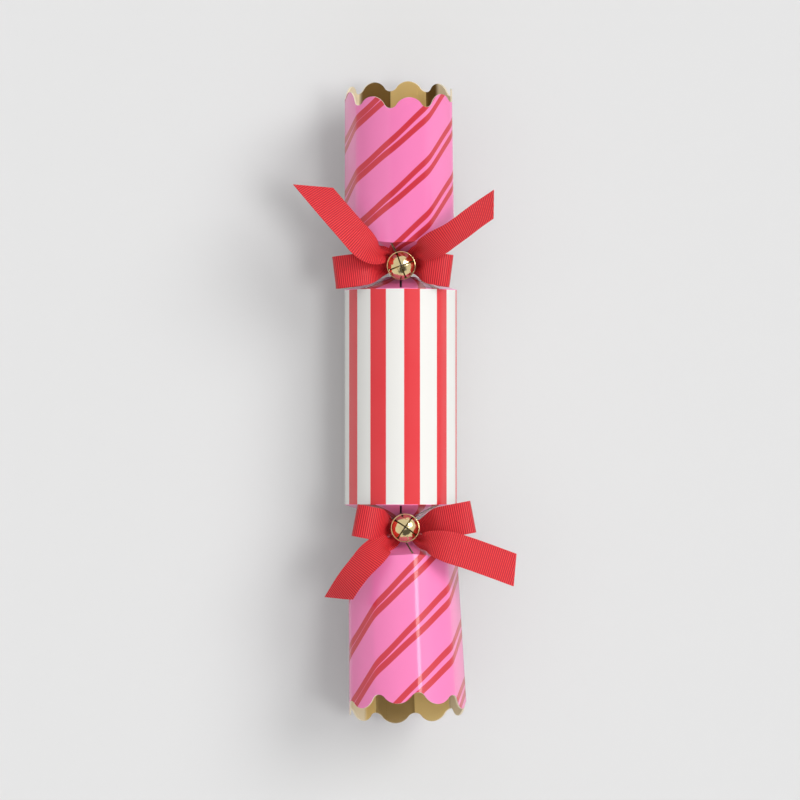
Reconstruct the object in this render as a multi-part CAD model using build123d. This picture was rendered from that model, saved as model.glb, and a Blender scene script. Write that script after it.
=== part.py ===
"""Christmas cracker: card wrap, snap, ribbon ties, jingle bells and contents, one solid per piece.

Millimetres. The cracker lies along Y on the flat panel under its barrel, Z is up and the origin is
the middle of that panel. The end at +Y is called upper, the end at -Y lower. Angles round the
cracker start at the top and turn toward +X.
"""

import os
from dataclasses import dataclass
from math import atan, cos, degrees, radians, sin, tan

from build123d import *

# Card wrap
PANELS = 9
PITCH = 360 / PANELS
HALF_PITCH = PITCH / 2
CARD = 0.5
BARREL_LENGTH = 107.5
BARREL_APOTHEM = 27.3
BARREL_RIDGE = 12.0
BARREL_PHASE = 0.0
TUBE_RIDGE = 7.0
AXIS_Z = BARREL_APOTHEM
SLIT_WIDTH = 1.0
SLIT_INNER = 11.0
LAP_WIDTH = 10.0
FOIL = 0.25
FOIL_GLUE = 0.05
FOIL_SETBACK = 1.4
FOIL_LAP_WIDTH = 9.0
SCALLOP_DEPTH = 5.2
LOBE_SHARE = 0.66
TUBE_APOTHEM = 26.7
UPPER_CREASE = 16.0
UPPER_TIP = 88.2
UPPER_MOUTH = 26.0
LOWER_CREASE = 17.4
LOWER_TIP = 92.2
LOWER_MOUTH = 28.5
OVERRUN = 1.0
LAP_PANEL = 4

# Gathered necks
NECK_GAP = 13.25
NECK_Y = BARREL_LENGTH / 2 + NECK_GAP
GATHER_APOTHEM = 7.4
GATHER_RIDGE = 3.6
COLLAR_APOTHEM = 6.7
GATHER_DEPTH = 2.4
GATHER_SETBACK = 6.8
COLLAR_RADIUS = 9.0
COLLAR_BORE = 5.8
COLLAR_IN = 2.5
COLLAR_OUT = 5.6
COLLAR_JOIN = 5.0

# Snap
SNAP_WIDTH = 10.0
SNAP_CARD = 0.5
SNAP_REACH = 12.0
SNAP_OVERLAP = 22.0
PATCH = 0.2
PATCH_LENGTH = 9.0
SLEEVE_LENGTH = 26.0
SLEEVE_WALL = 0.25
PLAY = 0.3

# Ribbon
RIBBON_WIDTH = 16.0
RIBBON = 0.5
NECK_RIBBON_WIDTH = 7.0
NECK_RIBBON_SHIFT = 1.0
NECK_RIBBON = 1.2
KNOT_LENGTH = 11.0
KNOT_WIDTH = 8.6
KNOT_TOP = 15.5
KNOT_SINK = 8.4
KNOT_ROUND = 1.2
STRAND = 0.9
STRAND_Z = 14.4
EYE_SLOT = 2.0
EYE_SLOT_FLOOR = 11.4
FOLD_RADIUS = 4.0
FOLD_Z = 21.5
LOOP_ROOT = 6.0
LOOP_ROOT_TOP = 13.8
LOOP_ROOT_FOOT = 11.8
LOOP_BELLY = 16.6
LOOP_CROWN = 1.5
LIFT_CROWN = 0.3
LIFT_BELLY = 0.8
LOOP_STATIONS = 28
TAIL_ROOT = 4.4
TAIL_STATIONS = 16
TAIL_CLIMB = 8.0
TAIL_TURN = 16.0
TAIL_PINCH = 24.0
CUT_SHARE = 0.12
PINCH = 16.0
UPPER_KNOT_X = 0.2
UPPER_KNOT_SETBACK = 1.4
LOWER_KNOT_X = 2.2
LOWER_KNOT_SETBACK = 1.0
UPPER_LEFT_REACH = 33.4
UPPER_RIGHT_REACH = 25.0
LOWER_LEFT_REACH = 25.4
LOWER_RIGHT_REACH = 34.2
LOW_LIFT = 1.0
HIGH_LIFT = 5.0

# Bells
BELL_RADIUS = 6.9
BELL_WALL = 0.45
BELL_SEAM = 0.3
BELL_SEAM_HEIGHT = 1.1
BELL_SLOT = 0.7
BELL_SLOT_LATITUDE = 24.0
BELL_HOLE = 0.75
EYE_WIRE = 0.45
EYE_RADIUS = 2.1
EYE_LIFT = 0.3
BELL_OFFSET = 9.2
PELLET = 1.9
PELLET_PLAY = 0.05

# Contents
CROWN_RADIUS = 7.5
CROWN_LENGTH = 54.0
CROWN_SHEET = 0.6
CROWN_CORE = 2.2
CROWN_POINTS = 5
CROWN_POINT_DEPTH = 9.0
CROWN_NOTCH_SHARE = 0.8
CROWN_Y = -21.0
MOTTO_RADIUS = 3.0
MOTTO_LENGTH = 46.0
MOTTO_PAPER = 0.4
MOTTO_Y = -20.0
MOTTO_SLIDE = 5.0
TOP_RADIUS = 9.0
TOP_PEG = 1.6
TOP_PEG_REACH = 14.0
TOP_FOOT = 6.5
TOP_BEVEL = 1.5
TOP_SHOULDER = 2.5
TOP_CROWN = 4.5
TOP_POINT = 0.3
TOP_Y = 24.0
REST_GAP = 0.15


@dataclass(frozen=True)
class End:
    """One end of the cracker: how its tube is bent, tapered and turned, and where its bow is tied."""

    name: str
    side: int
    heading: float
    tilt: float
    phase: float
    crease: float
    tip: float
    crease_apothem: float
    mouth_apothem: float
    knot_x: float
    knot_setback: float
    bell_tilt: float
    bell_turn: float

    @property
    def neck_y(self) -> float:
        """Middle of the neck along the cracker."""
        return self.side * NECK_Y

    @property
    def knot_y(self) -> float:
        """Middle of the knot along the cracker."""
        return self.side * (NECK_Y - self.knot_setback)


@dataclass(frozen=True)
class Loop:
    """One bow loop: which way it points in plan, how far it reaches and how high it lifts."""

    name: str
    heading: float
    reach: float
    lift: float


@dataclass(frozen=True)
class Tail:
    """One ribbon tail: root on the knot as (x, height), then its middle line to the cut end as
    (x, distance out from the neck, height above the axis), roll of the ribbon and slant of the cut."""

    name: str
    root: tuple
    line: tuple
    roll: float
    slant: float


UPPER = End(
    name="upper",
    side=1,
    heading=0.4,
    tilt=13.0,
    phase=-10.0,
    crease=UPPER_CREASE,
    tip=UPPER_TIP,
    crease_apothem=TUBE_APOTHEM,
    mouth_apothem=UPPER_MOUTH,
    knot_x=UPPER_KNOT_X,
    knot_setback=UPPER_KNOT_SETBACK,
    bell_tilt=3.0,
    bell_turn=20.0,
)
LOWER = End(
    name="lower",
    side=-1,
    heading=181.9,
    tilt=12.0,
    phase=-12.0,
    crease=LOWER_CREASE,
    tip=LOWER_TIP,
    crease_apothem=TUBE_APOTHEM,
    mouth_apothem=LOWER_MOUTH,
    knot_x=LOWER_KNOT_X,
    knot_setback=LOWER_KNOT_SETBACK,
    bell_tilt=-5.0,
    bell_turn=55.0,
)

LOOPS = {
    "upper": (
        Loop("left_loop", 187.0, UPPER_LEFT_REACH, 0.0),
        Loop("right_loop", -7.5, UPPER_RIGHT_REACH, LOW_LIFT),
    ),
    "lower": (
        Loop("left_loop", 169.0, LOWER_LEFT_REACH, HIGH_LIFT),
        Loop("right_loop", 11.0, LOWER_RIGHT_REACH, LOW_LIFT),
    ),
}

TAILS = {
    "upper": (
        Tail(
            "left_tail",
            (-3.2, 13.2),
            (
                (-6.2, 4.3, 18.5),
                (-9.2, 4.8, 26.0),
                (-14.0, 8.5, 33.0),
                (-21.0, 16.0, 36.5),
                (-31.0, 26.0, 36.0),
                (-43.4, 37.0, 33.0),
            ),
            36.0,
            -0.85,
        ),
        Tail(
            "right_tail",
            (3.6, 13.2),
            (
                (6.2, 4.9, 18.5),
                (9.4, 6.6, 26.5),
                (15.0, 10.4, 34.5),
                (24.0, 15.0, 37.0),
                (34.0, 21.0, 35.0),
                (46.0, 28.2, 30.0),
            ),
            -32.0,
            -0.5,
        ),
    ),
    "lower": (
        Tail(
            "left_tail",
            (-1.2, 13.2),
            (
                (-4.2, 5.0, 18.5),
                (-7.2, 5.8, 26.0),
                (-11.5, 10.5, 33.5),
                (-17.0, 17.0, 36.5),
                (-23.5, 25.0, 36.0),
                (-30.6, 33.0, 32.0),
            ),
            -30.0,
            0.4,
        ),
        Tail(
            "right_tail",
            (5.6, 13.2),
            (
                (9.2, 5.4, 18.5),
                (13.2, 6.8, 26.0),
                (20.0, 9.2, 31.5),
                (30.0, 11.2, 32.5),
                (42.0, 14.0, 30.0),
                (56.3, 18.0, 26.0),
            ),
            12.0,
            0.25,
        ),
    ),
}


def radial(angle: float) -> Vector:
    """Unit vector square to the cracker's axis."""
    return Vector(sin(radians(angle)), 0, cos(radians(angle)))


def panel_wire(y: float, apothem: float, ridge: float, phase: float) -> Wire:
    """Outline of the nine panels with rounded ridges, square to Y."""
    reach = (apothem - ridge) / cos(radians(HALF_PITCH))
    starts, crowns, stops = [], [], []
    for index in range(PANELS):
        turn = phase + index * PITCH
        centre = radial(turn) * reach + Vector(0, y, 0)
        starts.append(centre + radial(turn - HALF_PITCH) * ridge)
        crowns.append(centre + radial(turn) * ridge)
        stops.append(centre + radial(turn + HALF_PITCH) * ridge)
    edges = []
    for index in range(PANELS):
        edges.append(Edge.make_three_point_arc(starts[index], crowns[index], stops[index]))
        edges.append(Edge.make_line(stops[index], starts[(index + 1) % PANELS]))
    return Wire(edges)


def wrap(sections: list, phase: float) -> Solid:
    """Folded card outline through sections of (y, apothem, ridge radius)."""
    return Solid.make_loft([panel_wire(*section, phase) for section in sections], ruled=True)


def along_y(shape):
    """A shape made along Z, turned to lie along Y."""
    return Rot(-90, 0, 0) * shape


def slits(y_near: float, y_far: float, outer: float, phase: float) -> list:
    """Cutters for the slits between the flaps of one neck."""
    blade = Box(SLIT_WIDTH, abs(y_far - y_near), outer - SLIT_INNER)
    middle = Pos(0, (y_near + y_far) / 2, (outer + SLIT_INNER) / 2)
    return [Rot(0, phase + index * PITCH, 0) * middle * blade for index in range(PANELS)]


def barrel_card() -> Part:
    """Barrel with flaps folded in at both ends, gathered round the snap, and the glued lap.

    The upper gather leaves room for the sleeve, which leaves with the upper strip."""
    crease = BARREL_LENGTH / 2
    gather = NECK_Y - GATHER_SETBACK
    slope = atan((BARREL_APOTHEM - GATHER_APOTHEM) / (gather - crease))
    inset = CARD / cos(slope)
    mitre = CARD * tan(slope / 2)
    overrun = CARD
    half_out = [(crease, BARREL_APOTHEM, BARREL_RIDGE), (gather, GATHER_APOTHEM, GATHER_RIDGE)]
    half_in = [
        (crease - mitre, BARREL_APOTHEM - CARD, BARREL_RIDGE - CARD),
        (gather + overrun, GATHER_APOTHEM - inset - overrun * tan(slope), GATHER_RIDGE - inset),
    ]
    shells = []
    for half in (half_out, half_in):
        mirrored = [(-y, apothem, ridge) for y, apothem, ridge in reversed(half)]
        shells.append(wrap(mirrored + half, BARREL_PHASE))
    card = Part() + shells[0] - shells[1]
    outer = BARREL_APOTHEM
    for side in (1, -1):
        plug = along_y(Cylinder(GATHER_APOTHEM, GATHER_DEPTH))
        card += Pos(0, side * (gather - GATHER_DEPTH / 2), 0) * plug
        strip = Pos(0, side * gather, side * snap_level())
        card -= strip * Box(SNAP_WIDTH + 2 * PLAY, 3 * GATHER_DEPTH, SNAP_CARD + 2 * PLAY)
        card -= slits(side * crease, side * (gather + overrun), outer, BARREL_PHASE)
    width, height = sleeve_size()
    card -= Pos(0, gather, -PLAY / 2) * Box(width + 2 * PLAY, 3 * GATHER_DEPTH, height + 2 * PLAY)
    floor = -(BARREL_APOTHEM - CARD)
    card += Pos(0, 0, floor + CARD / 2) * Box(LAP_WIDTH, BARREL_LENGTH - 4 * CARD, CARD)
    return Pos(0, 0, AXIS_Z) * card


def tube_apothem(end: End, y: float) -> float:
    """Outside apothem of a tapered end tube at a distance from its neck."""
    share = (y - end.crease) / (end.tip - end.crease)
    return end.crease_apothem + (end.mouth_apothem - end.crease_apothem) * share


def tube_section(end: End, y: float, inset: float) -> tuple:
    """Section of an end tube, inset from its outside."""
    return (y, tube_apothem(end, y) - inset, TUBE_RIDGE - inset)


def scallop_cutters(end: End) -> list:
    """One cutter per ridge: a round gap between two broad round lobes."""
    half = end.mouth_apothem * sin(radians(HALF_PITCH))
    reach = (half**2 + SCALLOP_DEPTH**2) / (2 * SCALLOP_DEPTH)
    lobe = LOBE_SHARE * reach
    gap = reach - lobe
    tip = end.tip
    gap_y = tip - SCALLOP_DEPTH + gap
    lobe_y = tip - lobe
    share = gap / reach
    meet = Vector(half * share, gap_y + (lobe_y - gap_y) * share, 0)
    middle = (meet - Vector(half, lobe_y, 0)).normalized() + Vector(0, 1, 0)
    shoulder = Vector(half, lobe_y, 0) + middle.normalized() * lobe
    over = Vector(half + CARD, tip, 0)
    top = Vector(half + CARD, tip + SCALLOP_DEPTH, 0)

    def flip(point: Vector) -> Vector:
        return Vector(-point.X, point.Y, point.Z)

    peak = Vector(half, tip, 0)
    edges = [
        Edge.make_three_point_arc(flip(meet), Vector(0, tip - SCALLOP_DEPTH, 0), meet),
        Edge.make_three_point_arc(meet, shoulder, peak),
        Edge.make_line(peak, over),
        Edge.make_line(over, top),
        Edge.make_line(top, flip(top)),
        Edge.make_line(flip(top), flip(over)),
        Edge.make_line(flip(over), flip(peak)),
        Edge.make_three_point_arc(flip(peak), flip(shoulder), flip(meet)),
    ]
    inner, outer = SLIT_INNER, end.mouth_apothem + SCALLOP_DEPTH
    notch = Solid.extrude(Face(Wire(edges)), Vector(0, 0, outer - inner))
    return [Rot(0, end.phase + index * PITCH, 0) * Pos(0, 0, inner) * notch for index in range(PANELS)]


def place_end(end: End) -> Location:
    """Where an end tube, made along +Y from its neck, sits on the cracker."""
    return Pos(0, end.neck_y, AXIS_Z) * Rot(0, 0, end.heading) * Rot(end.tilt, 0, 0)


def end_card(end: End) -> Part:
    """Pink end tube: gathered collar, flaps with slits, tapered tube and scalloped mouth."""
    slope = atan((end.crease_apothem - COLLAR_APOTHEM) / (end.crease - COLLAR_JOIN))
    inset = CARD / cos(slope)
    mitre = CARD * tan(slope / 2)
    overrun = CARD
    past_tip = end.tip + OVERRUN
    outside = wrap(
        [
            (COLLAR_JOIN, COLLAR_APOTHEM, GATHER_RIDGE),
            tube_section(end, end.crease, 0),
            tube_section(end, past_tip, 0),
        ],
        end.phase,
    )
    inside = wrap(
        [
            (COLLAR_JOIN - overrun, COLLAR_APOTHEM - inset - overrun * tan(slope), GATHER_RIDGE - inset),
            tube_section(end, end.crease + mitre, CARD),
            tube_section(end, past_tip + OVERRUN, CARD),
        ],
        end.phase,
    )
    card = Part() + outside - inside
    card -= slits(0, end.crease, end.crease_apothem, end.phase)
    card -= scallop_cutters(end)
    ball = Sphere(COLLAR_RADIUS)
    span = Pos(0, (COLLAR_OUT - COLLAR_IN) / 2, 0) * Box(
        3 * COLLAR_RADIUS, COLLAR_OUT + COLLAR_IN, 3 * COLLAR_RADIUS
    )
    collar = (ball & span) - along_y(Cylinder(COLLAR_BORE, 4 * COLLAR_OUT))
    return place_end(end) * (card + collar)


def gold_lining(end: End) -> Part:
    """Gold foil inside an end tube, with the foil-faced lap along one panel."""
    start, past_tip = end.crease + FOIL_SETBACK, end.tip + OVERRUN
    outer, inner = CARD + FOIL_GLUE, CARD + FOIL_GLUE + FOIL
    outside = wrap([tube_section(end, start, outer), tube_section(end, past_tip, outer)], end.phase)
    inside = wrap(
        [tube_section(end, start - OVERRUN, inner), tube_section(end, past_tip + OVERRUN, inner)],
        end.phase,
    )
    away = radial(end.phase + HALF_PITCH + LAP_PANEL * PITCH)
    foot = away * (tube_apothem(end, start) - outer) + Vector(0, start, 0)
    base = Plane(foot, x_dir=(0, 1, 0), z_dir=-away)
    length = past_tip - start
    taper = degrees(atan((end.mouth_apothem - end.crease_apothem) / (end.tip - end.crease)))
    lap = Pos(length / 2, 0, 0) * Box(length, FOIL_LAP_WIDTH, 4 * FOIL)
    lining = Part() + outside - inside + (base * Rot(0, taper, 0) * lap & outside)
    return place_end(end) * (lining - scallop_cutters(end))


def snap_level() -> float:
    """Height of the upper strip's middle above the axis; the lower strip mirrors it."""
    return PLAY / 2 + PATCH + SNAP_CARD / 2


def sleeve_size() -> tuple:
    """Outside width and height of the paper sleeve round the two strips."""
    height = 2 * snap_level() + SNAP_CARD + PLAY
    return SNAP_WIDTH + 2 * PLAY + 2 * SLEEVE_WALL, height + 2 * SLEEVE_WALL


def snap_pieces() -> dict:
    """Two strips with friction patches, held together by a paper sleeve."""
    reach = NECK_Y + SNAP_REACH
    length = reach + SNAP_OVERLAP / 2
    level = snap_level()
    patch_level = (PLAY + PATCH) / 2
    pieces = {}
    for name, side in (("upper", 1), ("lower", -1)):
        middle = side * (reach - length / 2)
        strip = Box(SNAP_WIDTH, length, SNAP_CARD)
        pieces[f"{name}_snap_strip"] = Pos(0, middle, AXIS_Z + side * level) * strip
        patch = Box(SNAP_WIDTH - 1, PATCH_LENGTH, PATCH)
        pieces[f"{name}_snap_patch"] = Pos(0, 0, AXIS_Z + side * patch_level) * patch
    width, height = sleeve_size()
    wall = Box(width, SLEEVE_LENGTH, height)
    hole = Box(width - 2 * SLEEVE_WALL, 2 * SLEEVE_LENGTH, height - 2 * SLEEVE_WALL)
    pieces["snap_sleeve"] = Pos(0, 0, AXIS_Z - PLAY / 2) * (wall - hole)
    return pieces


def ramp(distance: float, reach: float) -> float:
    """Smooth rise from 0 to 1 over a reach."""
    share = min(max(distance / reach, 0), 1)
    return share * share * (3 - 2 * share)


def ribbon(line: Edge, stations: list) -> Solid:
    """Flat ribbon through stations of (share of the line, across vector, thickness direction)."""
    sections = []
    for share, across, face in stations:
        point = line.position_at(share)
        side, lift = across / 2, face.normalized() * (RIBBON / 2)
        corners = [point - side - lift, point + side - lift, point + side + lift, point - side + lift]
        sections.append(Wire.make_polygon(corners, close=True))
    return Solid.make_loft(sections, ruled=True)


def bow_loop(end: End, loop: Loop) -> Solid:
    """Loop from the top of the knot's side out, round its fold and back below."""
    ahead = Vector(cos(radians(loop.heading)), sin(radians(loop.heading)), 0)
    outward = Vector(1 if ahead.X > 0 else -1, 0, 0)
    foot = KNOT_LENGTH / 2 / abs(ahead.X)
    fold, fold_z = loop.reach - FOLD_RADIUS, FOLD_Z + loop.lift
    profile = [(foot, LOOP_ROOT_TOP), (fold / 2, FOLD_Z + LOOP_CROWN + loop.lift * LIFT_CROWN)]
    for turn in (90, 45, 0, -45, -90):
        bend = radians(turn)
        profile.append((fold + FOLD_RADIUS * cos(bend), fold_z + FOLD_RADIUS * sin(bend)))
    profile += [(fold / 2, LOOP_BELLY + loop.lift * LIFT_BELLY), (foot, LOOP_ROOT_FOOT)]
    knot = Vector(end.knot_x, end.knot_y, AXIS_Z)
    line = Edge.make_spline([knot + ahead * out + Vector(0, 0, up) for out, up in profile])
    side, level = Vector(-ahead.Y, ahead.X, 0), Vector(0, outward.X, 0)
    stations = []
    for index in range(LOOP_STATIONS + 1):
        share = index / LOOP_STATIONS
        near = min(share, 1 - share) * line.length
        width = LOOP_ROOT + (RIBBON_WIDTH - LOOP_ROOT) * ramp(near, PINCH)
        across = side if 0 < index < LOOP_STATIONS else level
        face = across.cross(line.tangent_at(share)) if 0 < index < LOOP_STATIONS else Vector(0, 0, 1)
        face = face if index < LOOP_STATIONS else Vector(0, 0, -1)
        stations.append((share, across * width, face))
    return ribbon(line, stations)


def bow_tail(end: End, tail: Tail) -> Solid:
    """Tail from the knot over the end tube to its slanted cut."""
    root_x, root_z = tail.root
    points = [Vector(root_x, end.knot_y + end.side * KNOT_WIDTH / 2, AXIS_Z + root_z)]
    points += [Vector(x, end.neck_y + end.side * out, AXIS_Z + z) for x, out, z in tail.line]
    line = Edge.make_spline(points)
    level = Vector(end.side, 0, 0)
    stations = [(0, level * TAIL_ROOT, Vector(0, 0, 1))]
    for index in range(1, TAIL_STATIONS + 1):
        share = index / TAIL_STATIONS
        distance = share * line.length
        along = line.tangent_at(share)
        turned = ramp(distance - TAIL_CLIMB, TAIL_TURN)
        flat = Vector(along.Y, -along.X, 0).normalized().rotate(Axis((0, 0, 0), along), -tail.roll)
        across = level * (1 - turned) + flat * turned
        across = (across - along * across.dot(along)).normalized()
        slant = along * tail.slant * ramp(share - 1 + CUT_SHARE, CUT_SHARE)
        width = TAIL_ROOT + (RIBBON_WIDTH - TAIL_ROOT) * ramp(distance, TAIL_PINCH)
        stations.append((share, (across + slant) * width, across.cross(along)))
    return ribbon(line, stations)


def tie_pieces(end: End) -> dict:
    """Ribbon round the neck, knot with the strand for the bell, two loops and two tails."""
    inner = COLLAR_RADIUS + PLAY
    outer = inner + NECK_RIBBON
    band = along_y(Cylinder(outer, NECK_RIBBON_WIDTH))
    band = fillet(band.edges().filter_by(GeomType.CIRCLE), NECK_RIBBON / 3)
    band_y = end.neck_y - end.side * NECK_RIBBON_SHIFT
    band = Pos(0, band_y, AXIS_Z) * (band - along_y(Cylinder(inner, 2 * NECK_RIBBON_WIDTH)))
    height = KNOT_TOP - KNOT_SINK
    block = Box(KNOT_LENGTH, KNOT_WIDTH, height)
    block = fillet(block.edges(), KNOT_ROUND)
    knot = Pos(end.knot_x, end.knot_y, AXIS_Z + KNOT_SINK + height / 2) * block
    slot_height = KNOT_TOP - EYE_SLOT_FLOOR + 1
    slot = Pos(end.knot_x, end.knot_y, AXIS_Z + EYE_SLOT_FLOOR + slot_height / 2)
    knot -= slot * Box(EYE_SLOT, 2 * KNOT_WIDTH, slot_height)
    strand = Rot(0, 90, 0) * Cylinder(STRAND, 3 * EYE_SLOT)
    knot += Pos(end.knot_x, end.knot_y, AXIS_Z + STRAND_Z) * strand
    knot -= Pos(0, end.neck_y, AXIS_Z) * along_y(Cylinder(outer, 4 * NECK_RIBBON_WIDTH))
    pieces = {f"{end.name}_neck_ribbon": band, f"{end.name}_bow_knot": knot}
    for loop in LOOPS[end.name]:
        pieces[f"{end.name}_{loop.name}"] = bow_loop(end, loop)
    for tail in TAILS[end.name]:
        pieces[f"{end.name}_{tail.name}"] = bow_tail(end, tail)
    return pieces


def bell_pieces(end: End) -> dict:
    """Jingle bell: cap, cup with crossed slots, wire eye and pellet, made above the eye."""
    centre = Pos(0, 0, BELL_OFFSET)
    half = Pos(0, 0, BELL_RADIUS) * Box(4 * BELL_RADIUS, 4 * BELL_RADIUS, 2 * BELL_RADIUS)
    shell = Sphere(BELL_RADIUS) - Sphere(BELL_RADIUS - BELL_WALL)
    cup = shell & half
    cap = shell - half
    seam = Cylinder(BELL_RADIUS + BELL_SEAM, BELL_SEAM_HEIGHT)
    seam = fillet(seam.edges(), BELL_SEAM)
    inside = BELL_RADIUS - BELL_WALL / 2
    seam = seam - Sphere(inside) - Cylinder(inside, 2 * BELL_SEAM_HEIGHT)
    cup += Pos(0, 0, BELL_SEAM_HEIGHT / 2) * seam
    low = BELL_RADIUS * sin(radians(BELL_SLOT_LATITUDE))
    blade = Pos(0, 0, low + BELL_RADIUS) * Box(2.4 * BELL_RADIUS, BELL_SLOT, 2 * BELL_RADIUS)
    for turn in (0, 90):
        cup -= Rot(0, 0, end.bell_turn + turn) * blade
    punch = Pos(0, 0, BELL_RADIUS) * Cylinder(BELL_HOLE, BELL_RADIUS)
    for turn in range(0, 360, 90):
        cup -= Rot(0, 0, end.bell_turn + turn) * Rot(0, 90 - BELL_SLOT_LATITUDE, 0) * punch
    eye = Pos(0, 0, EYE_LIFT) * Rot(0, 90, 0) * Torus(EYE_RADIUS, EYE_WIRE) - centre * Sphere(BELL_RADIUS)
    drop = BELL_RADIUS - BELL_WALL - PELLET - PELLET_PLAY
    pellet = Pos(0, 0, BELL_OFFSET - drop) * Sphere(PELLET)
    place = Pos(end.knot_x, end.knot_y, AXIS_Z + STRAND_Z) * Rot(end.bell_tilt, 0, 0)
    return {
        f"{end.name}_bell_cap": place * centre * cap,
        f"{end.name}_bell_cup": place * centre * cup,
        f"{end.name}_bell_loop": place * eye,
        f"{end.name}_bell_pellet": place * pellet,
    }


def content_pieces() -> dict:
    """Rolled paper crown, rolled motto and a spinning top, lying on the barrel's floor."""
    floor = -(BARREL_APOTHEM - 2 * CARD - REST_GAP)
    crown = Cylinder(CROWN_RADIUS, CROWN_LENGTH)
    crown -= Cylinder(CROWN_RADIUS - CROWN_SHEET, 2 * CROWN_LENGTH)
    crown += Cylinder(CROWN_CORE + CROWN_SHEET, CROWN_LENGTH) - Cylinder(CROWN_CORE, 2 * CROWN_LENGTH)
    web = (CROWN_RADIUS + CROWN_CORE) / 2
    crown += Pos(web, 0, 0) * Box(CROWN_RADIUS - CROWN_CORE - CROWN_SHEET, CROWN_SHEET, CROWN_LENGTH)
    half = CROWN_RADIUS * sin(radians(180 / CROWN_POINTS)) * CROWN_NOTCH_SHARE
    tooth = Polygon((-half, OVERRUN), (half, OVERRUN), (0, -CROWN_POINT_DEPTH), align=None)
    notch = Rot(90, 0, 0) * extrude(tooth, amount=2 * CROWN_RADIUS)
    for index in range(CROWN_POINTS):
        crown -= Rot(0, 0, (index + 0.5) * 360 / CROWN_POINTS) * Pos(0, 0, CROWN_LENGTH / 2) * notch
    motto = Cylinder(MOTTO_RADIUS, MOTTO_LENGTH) - Cylinder(MOTTO_RADIUS - MOTTO_PAPER, 2 * MOTTO_LENGTH)
    panel = radial(180 + PITCH) * (BARREL_APOTHEM - CARD - MOTTO_RADIUS - REST_GAP)
    down = radial(90 + PITCH)
    motto_at = panel + down * MOTTO_SLIDE + Vector(0, MOTTO_Y, AXIS_Z)
    outline = Polyline(
        (TOP_PEG, -TOP_FOOT),
        (TOP_RADIUS - TOP_BEVEL, -TOP_BEVEL),
        (TOP_RADIUS, 0),
        (TOP_RADIUS - TOP_BEVEL, TOP_SHOULDER),
        (TOP_PEG, TOP_CROWN),
        (TOP_PEG, -TOP_FOOT),
    )
    body = revolve(Plane.XZ * make_face(outline), Axis.Z)
    peg = Pos(0, 0, (TOP_PEG_REACH - TOP_FOOT) / 2) * Cylinder(TOP_PEG, TOP_PEG_REACH + TOP_FOOT)
    peg += Pos(0, 0, -TOP_FOOT - TOP_PEG) * Cone(TOP_POINT, TOP_PEG, 2 * TOP_PEG)
    lean = degrees(atan((TOP_RADIUS - TOP_PEG) / TOP_PEG_REACH))
    rise = TOP_RADIUS * cos(radians(lean))
    top_at = Pos(0, TOP_Y, AXIS_Z + floor + rise) * Rot(-90 - lean, 0, 0)
    return {
        "paper_crown": Pos(0, CROWN_Y, AXIS_Z + floor + CROWN_RADIUS) * along_y(crown),
        "motto_slip": Pos(motto_at) * along_y(motto),
        "top_body": top_at * body,
        "top_peg": top_at * peg,
    }


def all_pieces() -> dict:
    """Every piece of the cracker by node name."""
    pieces = {"barrel_card": barrel_card()}
    for end in (UPPER, LOWER):
        pieces[f"{end.name}_end_card"] = end_card(end)
        pieces[f"{end.name}_gold_lining"] = gold_lining(end)
        pieces.update(tie_pieces(end))
        pieces.update(bell_pieces(end))
    pieces.update(snap_pieces())
    pieces.update(content_pieces())
    return pieces


def main() -> None:
    """Write one STEP file per piece."""
    os.makedirs("parts", exist_ok=True)
    for node, piece in all_pieces().items():
        export_step(piece, f"parts/{node}.step")


if __name__ == "__main__":
    main()
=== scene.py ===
"""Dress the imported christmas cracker: printed card, gold foil, grosgrain bows, bells and contents.

Metres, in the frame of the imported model: the cracker lies along Y on the panel under its barrel,
Z is up and the end at +Y is the upper end. Sizes in the classes are in millimetres and angles in
degrees, but the relief of the finishes and the size of the studio's room are in metres.
"""

import logging
import math
from dataclasses import dataclass, field
from enum import Enum
from typing import Callable, Sequence, Union

import bpy
import numpy as np
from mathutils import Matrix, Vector

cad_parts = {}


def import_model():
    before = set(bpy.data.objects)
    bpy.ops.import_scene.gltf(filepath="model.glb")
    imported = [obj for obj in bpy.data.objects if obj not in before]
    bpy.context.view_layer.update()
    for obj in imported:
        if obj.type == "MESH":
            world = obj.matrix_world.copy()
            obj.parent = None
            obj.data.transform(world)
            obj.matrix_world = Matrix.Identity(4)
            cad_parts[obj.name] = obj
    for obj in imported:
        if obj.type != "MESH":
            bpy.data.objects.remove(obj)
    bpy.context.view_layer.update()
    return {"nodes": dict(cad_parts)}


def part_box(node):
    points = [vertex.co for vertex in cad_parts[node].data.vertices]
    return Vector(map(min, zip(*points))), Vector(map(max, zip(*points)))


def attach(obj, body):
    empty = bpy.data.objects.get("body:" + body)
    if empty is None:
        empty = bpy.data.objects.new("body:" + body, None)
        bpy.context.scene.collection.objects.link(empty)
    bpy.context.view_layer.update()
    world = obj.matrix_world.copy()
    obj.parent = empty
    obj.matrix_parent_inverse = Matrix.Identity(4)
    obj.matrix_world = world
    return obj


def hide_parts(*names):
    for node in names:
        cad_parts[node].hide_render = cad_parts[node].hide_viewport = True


LOG = logging.getLogger("cracker")
MM = 0.001
FULL_TURN = 360.0
AXIS_Z = 27.3
NECK_Y = 67.0
CREASE_Y = 53.75
INK_EDGE = 0.012
UV_PER_METRE = 10

Socket = bpy.types.NodeSocket
Value = Union[float, Sequence[float], Socket]
Triple = tuple[float, float, float]
Bent = tuple[np.ndarray, np.ndarray]
Surface = Callable[[np.ndarray, np.ndarray], Bent]


class EndName(Enum):
    """The two ends of the cracker."""

    UPPER = "upper"
    LOWER = "lower"


class Side(Enum):
    """The two sides of a bow as the photograph shows it."""

    LEFT = "left"
    RIGHT = "right"


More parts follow.
